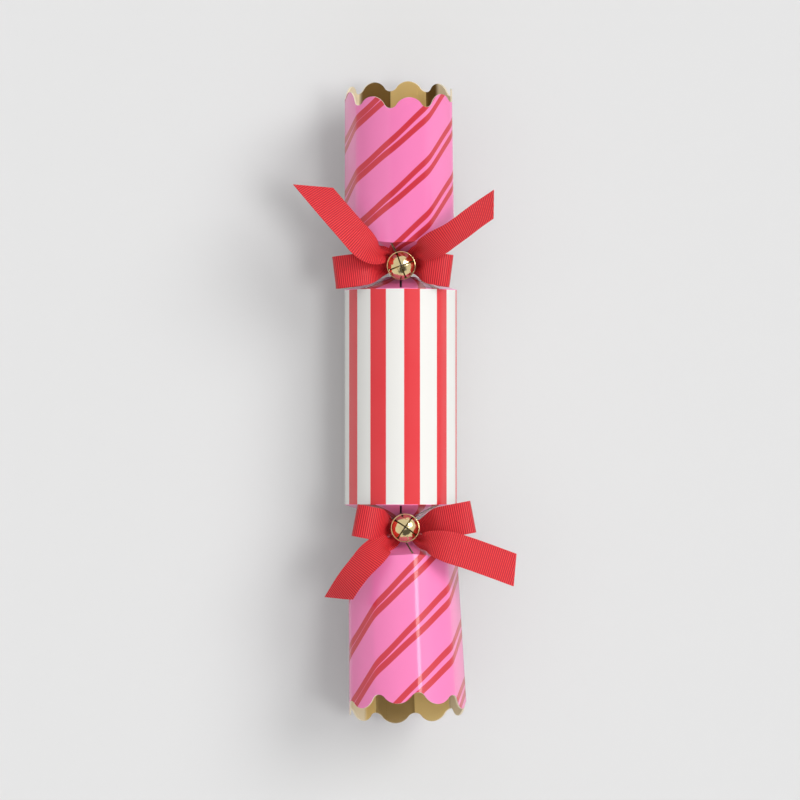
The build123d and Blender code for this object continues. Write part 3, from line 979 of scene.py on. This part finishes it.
class Finishes:
    """Every material of the cracker, built once."""

    def __init__(self) -> None:
        """Build the materials."""
        shared = SharedNodes()
        spirals = {
            EndName.UPPER: SpiralPrint(pitch=26.9, starts=5.45, phase=0.456, sway=0.024),
            EndName.LOWER: SpiralPrint(pitch=29.6, starts=5.53, phase=0.955, sway=-0.024),
        }
        # Painted reflections of the foil: which panels are painted dark, and how dark.
        foil_painted_reflections = {
            EndName.UPPER: {"first": 1.0, "least_painted_reflection": 0.0},
            EndName.LOWER: {"first": 0.0, "least_painted_reflection": 0.35},
        }
        self.barrel = GlossCard(
            "striped_card",
            shared,
            centre=(0.0, 0.0, AXIS_Z * MM),
            turn=(0.0, 0.0, 0.0),
            axis=(0.0, 1.0, 0.0),
            spiral=spirals[EndName.UPPER],
            stripes=10,
        ).build()
        self.tubes: dict[EndName, bpy.types.Material] = {}
        self.foils: dict[EndName, bpy.types.Material] = {}
        for neck in NECKS:
            place = (shared, neck.centre, neck.turn)
            self.tubes[neck.name] = GlossCard(
                neck.node("printed_card"), *place, neck.axis, spirals[neck.name]
            ).build()
            self.foils[neck.name] = Foil(
                neck.node("gold_foil"), *place, neck.panel_phase, **foil_painted_reflections[neck.name]
            ).build()
        self.brass = Metal(
            "bell_brass",
            shared,
            Ink.BRASS,
            roughness=0.08,
            spread=0.08,
            dent=0.00045,
            grain_scale=7500.0,
        ).build()
        self.steel = Metal(
            "pellet_steel",
            shared,
            Ink.STEEL,
            roughness=0.25,
            spread=0.10,
            dent=0.00002,
            grain_scale=3000.0,
        ).build()
        self.ribbon = Grosgrain("red_ribbon", shared).build()
        self.snap_card = Paper("snap_card", shared, Ink.SNAP_CARD, roughness=0.8).build()
        self.snap_patch = Paper(
            "snap_patch", shared, Ink.SNAP_PATCH, roughness=0.95, grain_scale=4000.0
        ).build()
        self.sleeve = Paper("sleeve_paper", shared, Ink.SLEEVE, roughness=0.85).build()
        self.tissue = Paper("tissue_paper", shared, Ink.TISSUE, roughness=0.9).build()
        self.motto = Paper("motto_paper", shared, Ink.MOTTO, roughness=0.8).build()
        self.top = TurnedWood("top_wood", shared, Ink.TOP_RED, coat=0.8).build()
        self.peg = TurnedWood("peg_wood", shared, Ink.PEG_WOOD, coat=0.0).build()


def dress(piece: bpy.types.Object, material: bpy.types.Material) -> None:
    """Give a piece its one material.

    Args:
        piece: The piece.
        material: The material.
    """
    piece.data.materials.clear()
    piece.data.materials.append(material)
    LOG.info("dressed %s with %s", piece.name, material.name)


@dataclass
class Assembly:
    """A sub-assembly of CAD nodes, which keep their shape and get their finish here."""

    nodes: dict[str, bpy.types.Object]
    finishes: Finishes

    def dress_node(self, node: str, material: bpy.types.Material) -> None:
        """Dress one of the CAD nodes."""
        dress(self.nodes[node], material)


class CardWrap(Assembly):
    """Barrel, end tubes and their gold linings."""

    def build(self) -> None:
        """Dress the printed card and the foil."""
        self.dress_node("barrel_card", self.finishes.barrel)
        for neck in NECKS:
            self.dress_node(neck.node("end_card"), self.finishes.tubes[neck.name])
            self.dress_node(neck.node("gold_lining"), self.finishes.foils[neck.name])


class Bells(Assembly):
    """Jingle bells with their wire eyes and pellets."""

    def build(self) -> None:
        """Dress the bells."""
        for neck in NECKS:
            for piece in ("bell_cap", "bell_cup", "bell_loop"):
                self.dress_node(neck.node(piece), self.finishes.brass)
            self.dress_node(neck.node("bell_pellet"), self.finishes.steel)


class Snap(Assembly):
    """The snap's strips, friction patches and sleeve."""

    def build(self) -> None:
        """Dress the snap."""
        for neck in NECKS:
            self.dress_node(neck.node("snap_strip"), self.finishes.snap_card)
            self.dress_node(neck.node("snap_patch"), self.finishes.snap_patch)
        self.dress_node("snap_sleeve", self.finishes.sleeve)


@dataclass(frozen=True)
class LoopShape:
    """One bow loop: heading in plan, reach and lift of its fold."""

    side: Side
    heading: float
    reach: float
    lift: float


@dataclass(frozen=True)
class TailShape:
    """One tail: roll of the ribbon, slant of its cut and middle line from the knot to it."""

    side: Side
    roll: float
    slant: float
    line: tuple[tuple[float, ...], ...]

    @property
    def level(self) -> np.ndarray:
        """Level direction across the tail, from its third point to its cut."""
        ahead = np.array(self.line[-1]) - np.array(self.line[2])
        return unit(np.array([ahead[1], -ahead[0], 0.0]))


@dataclass(frozen=True)
class KnotShape:
    """Section of the knot's wrap, with the crease for the bell's eye."""

    seat: float = 10.75
    gap: float = 0.1
    top: float = 15.2
    valley: float = 11.85
    perimeter: float = 23.5
    end_inset: float = 0.2
    side_inset: float = 0.25
    crease_half: float = 0.8
    crease_slope: float = 1.1
    crease_draw: float = 0.9
    edge_run: float = 1.6
    edge_drop: float = 0.7
    edge_draw: float = 0.4
    pleat: float = 0.24
    pleat_pitch: float = 1.7
    squareness: float = 0.62
    rows: int = 150
    columns: int = 64

    def squared(self, swing: np.ndarray) -> np.ndarray:
        """A swing that fills the corners of its section."""
        return np.sign(swing) * np.abs(swing) ** self.squareness


@dataclass(frozen=True)
class BandShape:
    """Section of the ribbon round the neck, folded double."""

    inner: float = 9.62
    outer: float = 10.12
    half: float = 3.25
    inward: float = 1.0
    ripple: float = 0.12
    ripples: int = 5
    rib_share: float = 0.5
    columns: int = 40


@dataclass(frozen=True)
class StrandShape:
    """The strand in the knot's crease that carries the bell."""

    radius: float = 0.85
    reach: float = 2.9
    height: float = 14.4
    bevel: float = 0.2
    bevel_steps: int = 3
    sides: int = 24
    smooth_angle: float = 40.0


@dataclass
class Bow:
    """A bow of grosgrain ribbon tied round one neck."""

    neck: Neck
    loops: tuple[LoopShape, ...]
    tails: tuple[TailShape, ...]
    material: bpy.types.Material
    width: float = 16.0
    rib: float = 1.05
    rib_height: float = 0.11
    rows_per_rib: int = 6
    columns: int = 28
    knot_length: float = 11.0
    knot_width: float = 8.6
    fold_radius: float = 4.0
    fold_z: float = 21.5
    root_top: float = 13.8
    root_dip: float = 0.3
    root_rise: float = 0.4
    root_foot: float = 11.8
    foot_rise: float = 0.3
    root_depth: float = 2.0
    root_run: float = 2.5
    belly: float = 16.6
    belly_lift: float = 0.8
    crown: float = 1.5
    crown_lift: float = 0.3
    loop_root: float = 5.6
    loop_pinch: float = 20.0
    loop_cup: float = 0.5
    cup_start: float = 18.0
    cup_fade: float = 10.0
    cup_middle: float = 0.33
    tail_depth: float = 1.5
    tail_sink: float = 0.2
    tail_root: float = 5.0
    tail_pinch: float = 32.0
    tail_climb: float = 2.0
    tail_turn: float = 11.0
    tail_twist: float = 38.0
    tail_arch: float = 0.7
    arch_run: float = 25.0
    pleat: float = 0.75
    pleat_waves: float = 1.6
    loop_pleat_start: float = 0.6
    wrap: KnotShape = KnotShape()
    band: BandShape = BandShape()
    strand: StrandShape = StrandShape()
    maker: SheetMaker = field(default_factory=SheetMaker)

    @property
    def knot(self) -> np.ndarray:
        """Where the knot's middle stands on the axis level."""
        return np.array([self.neck.knot_x, self.neck.knot_y, AXIS_Z])

    def build(self) -> None:
        """Build and dress every piece of the bow."""
        for loop in self.loops:
            self._build_loop(loop)
        for tail in self.tails:
            self._build_tail(tail)
        self._build_knot()
        self._build_neck_ribbon()
        self._build_strand()

    def _finish(
        self, piece: bpy.types.Object, node: str, length: float, hold: Hold, rest: str
    ) -> None:
        """Dress a ribbon piece, ride it on the tie and declare its cut size.

        Args:
            piece: The ribbon piece.
            node: CAD node that it stands for, without the end's name.
            length: Length of the cut ribbon in millimetres.
            hold: How the ribbon is held; not used.
            rest: What it rests on, without the end's name.
        """
        dress(piece, self.material)
        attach(piece, self.neck.tie_body)
        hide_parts(self.neck.node(node))
        self.neck.node(rest)
        LOG.info("built %s, cut %.0f by %.0f mm", piece.name, self.width, length)

    def _ribs(self, arc: np.ndarray) -> np.ndarray:
        """Height of the ribs at lengths along the ribbon."""
        return self.rib_height * 0.5 * -np.cos(math.tau * arc / self.rib)

    def _rows(self, length: float) -> int:
        """Grid steps for the ribs along a length."""
        return int(math.ceil(length / self.rib * self.rows_per_rib))

    def _cup(self, across: np.ndarray) -> np.ndarray:
        """Rise of the ribbon's edges over its middle for shares across."""
        return 4 * across**2 - self.cup_middle

    def _spans(self, arc: np.ndarray, across: np.ndarray) -> np.ndarray:
        """Distances along and across the flat ribbon."""
        return np.stack([arc, across * self.width + self.width / 2], axis=-1)

    def _loop_line(self, loop: LoopShape, ahead: np.ndarray) -> SmoothLine:
        """Middle line of a loop.

        Args:
            loop: The loop.
            ahead: Its direction in plan.

        Returns:
            The line from the top of the knot's side out, round the fold and back below.
        """
        inside = self.knot_length / 2 - self.root_depth
        outside = inside + self.root_run
        fold, fold_z = loop.reach - self.fold_radius, self.fold_z + loop.lift
        profile = [(inside, self.root_top - self.root_dip)]
        profile.append((outside, self.root_top + self.root_rise))
        profile.append((fold / 2, self.fold_z + self.crown + self.crown_lift * loop.lift))
        for turn in (90, 45, 0, -45, -90):
            bend = math.radians(turn)
            out = fold + self.fold_radius * math.cos(bend)
            profile.append((out, fold_z + self.fold_radius * math.sin(bend)))
        profile.append((fold / 2, self.belly + self.belly_lift * loop.lift))
        profile += [(outside, self.root_foot + self.foot_rise), (inside, self.root_foot)]
        return SmoothLine([self.knot + ahead * out + np.array([0, 0, up]) for out, up in profile])

    def _build_loop(self, loop: LoopShape) -> None:
        """Loop of ribbon, gathered at both of its roots in the knot.

        Args:
            loop: The loop's shape.
        """
        heading = math.radians(loop.heading)
        ahead = np.array([math.cos(heading), math.sin(heading), 0.0])
        side = np.array([-ahead[1], ahead[0], 0.0])
        line = self._loop_line(loop, ahead)

        def surface(share: np.ndarray, across: np.ndarray) -> Bent:
            """Bend the loop.

            Args:
                share: Shares along it, from 0 to 1.
                across: Shares across it, from -0.5 to 0.5.

            Returns:
                Points, and distances on the flat sheet, in millimetres.
            """
            arc = share * line.length
            near = np.minimum(arc, line.length - arc)
            open_share = ramp(near, self.loop_pinch)
            width = self.loop_root + (self.width - self.loop_root) * open_share
            face = unit(np.cross(np.broadcast_to(side, (len(arc), 3)), line.along(arc)))
            pleats = np.sin(math.tau * self.pleat_waves * across + self.loop_pleat_start)
            height = self.pleat * (1 - open_share) * pleats + self._ribs(arc)
            cupped = 1 - ramp(near - self.cup_start, self.cup_fade)
            height += self.loop_cup * self._cup(across) * open_share * cupped
            points = line.at(arc) + side * (width * across)[:, None] + face * height[:, None]
            return points, self._spans(arc, across)

        node = f"{loop.side.value}_loop"
        name = self.neck.node(f"{node}_ribbon")
        piece = self.maker.make(name, self._rows(line.length), self.columns, surface)
        self._finish(piece, node, line.length, Hold.FOLDED, "bow_knot")

    def _build_tail(self, tail: TailShape) -> None:
        """Tail from the knot over the end tube to its slanted cut.

        Args:
            tail: The tail's shape.
        """
        root_x, root_z = tail.line[0]
        root_y = self.neck.knot_y + self.neck.outward * (self.knot_width / 2 - self.tail_depth)
        root = [root_x, root_y, AXIS_Z + root_z - self.tail_sink]
        line = SmoothLine([root] + [[x, y, AXIS_Z + z] for x, y, z in tail.line[1:]])
        roll = math.radians(-tail.roll)

        def surface(share: np.ndarray, across: np.ndarray) -> Bent:
            """Bend the tail.

            Args:
                share: Shares along it, from 0 to 1.
                across: Shares across it, from -0.5 to 0.5.

            Returns:
                Points, and distances on the flat sheet, in millimetres.
            """
            arc = share * (line.length + tail.slant * self.width * across)
            along = line.along(arc)
            flat = unit(np.stack([along[:, 1], -along[:, 0], np.zeros(len(arc))], axis=-1))
            lifted = np.cross(along, flat)
            twist = (roll * ramp(arc - self.tail_climb, self.tail_twist))[:, None]
            flat = flat * np.cos(twist) + lifted * np.sin(twist)
            turned = ramp(arc - self.tail_climb, self.tail_turn)[:, None]
            spread = tail.level * (1 - turned) + flat * turned
            spread = unit(spread - along * (spread * along).sum(axis=-1, keepdims=True))
            face = np.cross(spread, along)
            open_share = ramp(arc, self.tail_pinch)
            width = self.tail_root + (self.width - self.tail_root) * open_share
            pleats = np.sin(math.tau * self.pleat_waves * across)
            height = self.pleat * (1 - open_share) * pleats
            arched = 1 - ramp(arc - self.arch_run, self.arch_run)
            height += self._ribs(arc) - self.tail_arch * self._cup(across) * open_share * arched
            points = line.at(arc) + spread * (width * across)[:, None] + face * height[:, None]
            return points, self._spans(arc, across)

        node = f"{tail.side.value}_tail"
        name = self.neck.node(f"{node}_ribbon")
        piece = self.maker.make(name, self._rows(line.length), self.columns, surface)
        self._finish(piece, node, line.length, Hold.DRAPED, "bow_knot")

    def _build_knot(self) -> None:
        """Wrap of the knot: a pleated band round the roots, creased for the bell's eye."""
        wrap = self.wrap
        half_long = self.knot_length / 2 - wrap.end_inset
        half_wide = self.knot_width / 2 - wrap.side_inset

        def surface(share: np.ndarray, across: np.ndarray) -> Bent:
            """Bend the wrap of the knot.

            Args:
                share: Shares along it, from 0 to 1.
                across: Shares across it, from -0.5 to 0.5.

            Returns:
                Points, and distances on the flat sheet, in millimetres.
            """
            x = across * 2 * half_long
            crease = 1 - ramp(np.abs(x) - wrap.crease_half, wrap.crease_slope)
            edge = ramp(np.abs(x) - half_long + wrap.edge_run, wrap.edge_run)
            low = np.sqrt(wrap.seat**2 - x**2) + wrap.gap
            high = wrap.top - (wrap.top - wrap.valley) * crease - wrap.edge_drop * edge
            wide = half_wide - wrap.crease_draw * crease - wrap.edge_draw * edge
            pleats = wrap.pleat * np.cos(math.tau * x / wrap.pleat_pitch) * (1 - crease)
            turn, arc = math.tau * share, share * wrap.perimeter
            out, up = wrap.squared(np.cos(turn)), wrap.squared(np.sin(turn))
            ripple = pleats + self._ribs(arc)
            y = out * (wide + ripple)
            z = (low + high) / 2 + up * ((high - low) / 2 + ripple * (up > 0))
            return self.knot + np.stack([x, y, z], axis=-1), self._spans(arc, across)

        name = self.neck.node("knot_wrap")
        piece = self.maker.make(name, wrap.rows, wrap.columns, surface, ring=True)
        self._finish(piece, "bow_knot", wrap.perimeter, Hold.GATHERED, "neck_ribbon")

    def _build_neck_ribbon(self) -> None:
        """Ribbon round the neck, folded double along its length and drawn tight."""
        band = self.band
        middle = self.neck.outward * (NECK_Y - band.inward)
        fold_radius = (band.outer - band.inner) / 2
        bend = math.pi * fold_radius / 2

        def surface(share: np.ndarray, across: np.ndarray) -> Bent:
            """Bend the neck's ribbon.

            Args:
                share: Shares along it, from 0 to 1.
                across: Shares across it, from -0.5 to 0.5.

            Returns:
                Points, and distances on the flat sheet, in millimetres.
            """
            turn = math.tau * share
            run = across * 2 * (2 * band.half + bend)
            turned = np.clip(run / bend, -1.0, 1.0) * math.pi / 2
            past = np.maximum(np.abs(run) - bend, 0.0)
            y = band.half + fold_radius * (np.cos(turned) - 1) - past
            radius = (band.inner + band.outer) / 2 + fold_radius * np.sin(turned)
            radius = radius + band.ripple * np.sin(turn * band.ripples + y) * (run > 0)
            radius = radius + band.rib_share * self._ribs(turn * band.inner)
            x, z = radius * np.sin(turn), AXIS_Z + radius * np.cos(turn)
            return np.stack([x, middle + y, z], axis=-1), self._spans(turn * band.inner, across)

        length = math.tau * band.inner
        name = self.neck.node("neck_band")
        piece = self.maker.make(name, self._rows(length), band.columns, surface, ring=True)
        self._finish(piece, "neck_ribbon", length, Hold.FOLDED, "end_card")

    def _build_strand(self) -> None:
        """Short strand across the knot's crease, which the bell's eye hangs on."""
        strand = self.strand
        deselect()
        place = (self.knot + np.array([0.0, 0.0, strand.height])) * MM
        bpy.ops.mesh.primitive_cylinder_add(
            vertices=strand.sides,
            radius=strand.radius * MM,
            depth=2 * strand.reach * MM,
            location=place,
            rotation=(0, math.pi / 2, 0),
        )
        piece = bpy.context.active_object
        piece.name = piece.data.name = self.neck.node("bell_strand")
        bpy.ops.object.transform_apply(location=True, rotation=True, scale=True)
        bpy.ops.object.mode_set(mode="EDIT")
        bpy.ops.mesh.select_all(action="SELECT")
        bpy.ops.mesh.bisect(plane_co=tuple(place), plane_no=(1, 0, 0))
        bpy.ops.object.mode_set(mode="OBJECT")
        apply_modifier(piece, "BEVEL", width=strand.bevel * MM, segments=strand.bevel_steps)
        bpy.ops.object.shade_smooth_by_angle(angle=math.radians(strand.smooth_angle))
        dress(piece, self.material)
        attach(piece, self.neck.tie_body)
        LOG.info("built %s", piece.name)


@dataclass(frozen=True)
class RollShape:
    """A rolled sheet of paper: what it stands for, its turns, core and cut edge."""

    node: str
    body: str
    slot: str
    turns: float
    core: float
    points: float = 0.0
    cuts: int = 10
    paper: float = 0.12
    ripple: float = 0.04
    ripples: int = 3
    rows_per_turn: int = 60
    columns: int = 24
    smooth_angle: float = 60.0
    uv_share: float = 0.2


CROWN = RollShape("paper_crown", "crown", "tissue_paper", turns=5.0, core=0.3, points=9.0)
MOTTO = RollShape("motto_slip", "motto", "motto_paper", turns=2.2, core=0.7)


class Contents(Assembly):
    """Paper crown and motto, rolled up inside the barrel, and a spinning top."""

    def build(self) -> None:
        """Build the rolled papers and dress the top."""
        self._roll(CROWN, self.finishes.tissue)
        self._roll(MOTTO, self.finishes.motto)
        self.dress_node("top_body", self.finishes.top)
        self.dress_node("top_peg", self.finishes.peg)

    @staticmethod
    def _roll(roll: RollShape, material: bpy.types.Material) -> None:
        """Roll a sheet of paper inside its node's box.

        Args:
            roll: The rolled sheet.
            material: Its material.
        """
        low, high = (np.array(corner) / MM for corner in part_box(roll.node))
        middle, radius = (low + high) / 2, (high[0] - low[0]) / 2 - roll.paper
        inner, width = radius * roll.core, float(high[1] - low[1])
        length = math.tau * roll.turns * (radius + inner) / 2

        def surface(share: np.ndarray, across: np.ndarray) -> Bent:
            """Bend the sheet into a spiral.

            Args:
                share: Shares along it, from 0 to 1.
                across: Shares across it, from -0.5 to 0.5.

            Returns:
                Points, and distances on the flat sheet, in millimetres.
            """
            turn = math.tau * roll.turns * share
            reach = inner + (radius - inner) * share + roll.ripple * np.sin(turn * roll.ripples)
            notch = roll.points * np.abs(((share * roll.cuts) % 1.0) - 0.5) * 2
            along = (width - notch) * (across + 0.5)
            x, z = middle[0] + reach * np.sin(turn), middle[2] + reach * np.cos(turn)
            flat = np.stack([share * length, along], axis=-1)
            return np.stack([x, low[1] + along, z], axis=-1), flat * roll.uv_share

        maker = SheetMaker(roll.paper, roll.smooth_angle)
        rows = int(roll.rows_per_turn * roll.turns)
        piece = maker.make(f"{roll.node}_roll", rows, roll.columns, surface)
        dress(piece, material)
        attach(piece, roll.body)
        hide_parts(roll.node)
        LOG.info("rolled %s, cut %.0f by %.0f mm", piece.name, width, length)


@dataclass
class Studio:
    """Plain pale floor, soft light from the right and the photograph's camera."""

    view_width: float = 400.0
    sensor: float = 36.0
    distance: float = 3.0
    camera_tilt: float = 1.0
    look_at: tuple[float, float] = (-0.4, -1.25)
    floor_size: float = 12.0
    floor_roughness: float = 0.9
    key_place: Triple = (1.5, -0.3, 2.0)
    key_strength: float = 0.56
    key_elevation: float = 69.0
    key_azimuth: float = -14.0
    key_softness: float = 16.0
    horizon: float = 0.30
    overhead: float = 0.72
    rise: tuple[float, float] = (0.25, 0.85)
    backdrop: float = 0.78
    dark_spot: float = 0.85
    dark_toward: Triple = (0.12, -0.60, 0.79)
    dark_reach: tuple[float, float] = (0.80, 0.87)
    glint: float = 5.7
    glint_toward: Triple = (0.61, 0.36, 0.70)
    glint_reach: tuple[float, float] = (0.953, 0.980)

    def build(self) -> None:
        """Build floor, light and camera."""
        self._floor()
        self._world()
        self._key()
        self._camera()
        bpy.context.scene.view_settings.view_transform = "Standard"

    def _floor(self) -> None:
        """Large pale floor under the cracker."""
        deselect()
        bpy.ops.mesh.primitive_plane_add(size=self.floor_size)
        floor = bpy.context.active_object
        floor.name = "floor"
        material = bpy.data.materials.new("floor_paper")
        material.use_nodes = True
        shader = material.node_tree.nodes["Principled BSDF"]
        set_plain(shader, Base_Color=Ink.FLOOR.value)
        set_plain(shader, Roughness=self.floor_roughness, Specular_IOR_Level=0.0)
        floor.data.materials.append(material)

    def _world(self) -> None:
        """Room: dim at the horizon, pale to the camera, a dark patch overhead, a lamp at right."""
        world = bpy.data.worlds.new("studio")
        bpy.context.scene.world = world
        world.use_nodes = True
        graph = Graph(world.node_tree)
        background = world.node_tree.nodes["Background"]
        toward = graph.coordinate("Generated")
        path = graph.add("ShaderNodeLightPath")
        glossy = path.outputs["Is Glossy Ray"]
        seen = graph.math("ADD", path.outputs["Is Camera Ray"], glossy, clamp=True)
        low = graph.math("MULTIPLY_ADD", seen, self.backdrop - self.horizon, self.horizon)
        height = graph.steps(graph.parts(toward)[2], *self.rise)
        rise = graph.math("MULTIPLY", height, graph.math("SUBTRACT", self.overhead, low))
        room = graph.math("ADD", low, rise)
        dark = self._patch(graph, toward, self.dark_toward, self.dark_reach)
        spot = graph.math("MULTIPLY", dark, glossy)
        open_sky = graph.math("MULTIPLY_ADD", spot, -self.dark_spot, 1.0)
        lamp = self._patch(graph, toward, self.glint_toward, self.glint_reach)
        glint = graph.math("MULTIPLY", lamp, self.glint)
        set_plain(background, Color=(1.0, 1.0, 1.0, 1.0))
        level = graph.math("MULTIPLY_ADD", room, open_sky, glint)
        graph.put(background.inputs["Strength"], level)

    @staticmethod
    def _patch(
        graph: Graph, toward: Socket, middle: Triple, reach: tuple[float, float]
    ) -> Socket:
        """Mask of a round patch of the room.

        Args:
            graph: Graph of the world.
            toward: Direction of the ray.
            middle: Direction of the patch's middle.
            reach: Cosines between which the mask rises.

        Returns:
            The mask.
        """
        near = graph.vector("DOT_PRODUCT", toward, Vector(middle).normalized())
        return graph.steps(near, *reach)

    def _key(self) -> None:
        """Soft key light from the right."""
        bpy.ops.object.light_add(type="SUN", location=self.key_place)
        key = bpy.context.active_object
        key.name = "key_light"
        elevation, azimuth = math.radians(self.key_elevation), math.radians(self.key_azimuth)
        level = math.cos(elevation)
        toward = Vector((level * math.cos(azimuth), level * math.sin(azimuth), math.sin(elevation)))
        key.rotation_euler = toward.to_track_quat("Z", "Y").to_euler()
        key.data.energy = self.key_strength
        key.data.angle = math.radians(self.key_softness)
        key.visible_glossy = False

    def _camera(self) -> None:
        """Long lens high above the cracker, its upper end toward the top of the picture."""
        tilt = math.radians(self.camera_tilt)
        target = Vector((self.look_at[0] * MM, self.look_at[1] * MM, AXIS_Z * MM))
        away = Vector((0.0, -math.sin(tilt), math.cos(tilt))) * self.distance
        bpy.ops.object.camera_add(location=target + away, rotation=(tilt, 0.0, 0.0))
        camera = bpy.context.active_object
        camera.name = "camera"
        camera.data.sensor_width = self.sensor
        camera.data.lens = self.sensor * self.distance / (self.view_width * MM)
        bpy.context.scene.camera = camera


UPPER_LEFT_LINE = (
    (-3.2, 13.2),
    (-6.4, 70.9, 18.5),
    (-10.4, 70.8, 26.0),
    (-16.2, 73.6, 33.0),
    (-23.4, 80.8, 36.5),
    (-32.6, 91.2, 36.0),
    (-43.4, 104.0, 33.0),
)
UPPER_RIGHT_LINE = (
    (3.6, 13.2),
    (6.4, 70.9, 18.5),
    (10.4, 71.8, 26.5),
    (16.4, 74.6, 34.5),
    (25.2, 79.8, 37.0),
    (34.6, 87.0, 35.0),
    (46.0, 95.2, 30.0),
)
LOWER_LEFT_LINE = (
    (-1.2, 13.2),
    (-4.2, -72.0, 18.5),
    (-8.0, -72.6, 26.0),
    (-12.6, -76.2, 33.5),
    (-20.0, -84.3, 36.5),
    (-25.8, -92.0, 36.0),
    (-30.8, -100.0, 32.0),
)
LOWER_RIGHT_LINE = (
    (5.6, 13.2),
    (9.2, -71.6, 18.5),
    (13.2, -71.9, 26.0),
    (20.0, -73.4, 31.5),
    (30.0, -76.4, 32.5),
    (42.0, -80.6, 30.0),
    (56.6, -86.0, 26.0),
)
LOOPS = {
    EndName.UPPER: (
        LoopShape(Side.LEFT, heading=187.0, reach=33.4, lift=0.0),
        LoopShape(Side.RIGHT, heading=-7.5, reach=25.0, lift=1.0),
    ),
    EndName.LOWER: (
        LoopShape(Side.LEFT, heading=169.0, reach=25.4, lift=5.0),
        LoopShape(Side.RIGHT, heading=11.0, reach=34.2, lift=1.0),
    ),
}
TAILS = {
    EndName.UPPER: (
        TailShape(Side.LEFT, roll=-27.0, slant=-0.79, line=UPPER_LEFT_LINE),
        TailShape(Side.RIGHT, roll=-45.0, slant=-0.25, line=UPPER_RIGHT_LINE),
    ),
    EndName.LOWER: (
        TailShape(Side.LEFT, roll=-38.0, slant=0.75, line=LOWER_LEFT_LINE),
        TailShape(Side.RIGHT, roll=12.0, slant=0.22, line=LOWER_RIGHT_LINE),
    ),
}


def main() -> None:
    """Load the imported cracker, build and dress its pieces and set up the studio."""
    logging.basicConfig(level=logging.INFO, format="%(name)s: %(message)s")
    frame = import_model()
    finishes = Finishes()
    for assembly in (CardWrap, Bells, Snap):
        assembly(frame["nodes"], finishes).build()
    for neck in NECKS:
        Bow(neck, LOOPS[neck.name], TAILS[neck.name], finishes.ribbon).build()
    Contents(frame["nodes"], finishes).build()
    Studio().build()


if __name__ == "__main__":
    main()
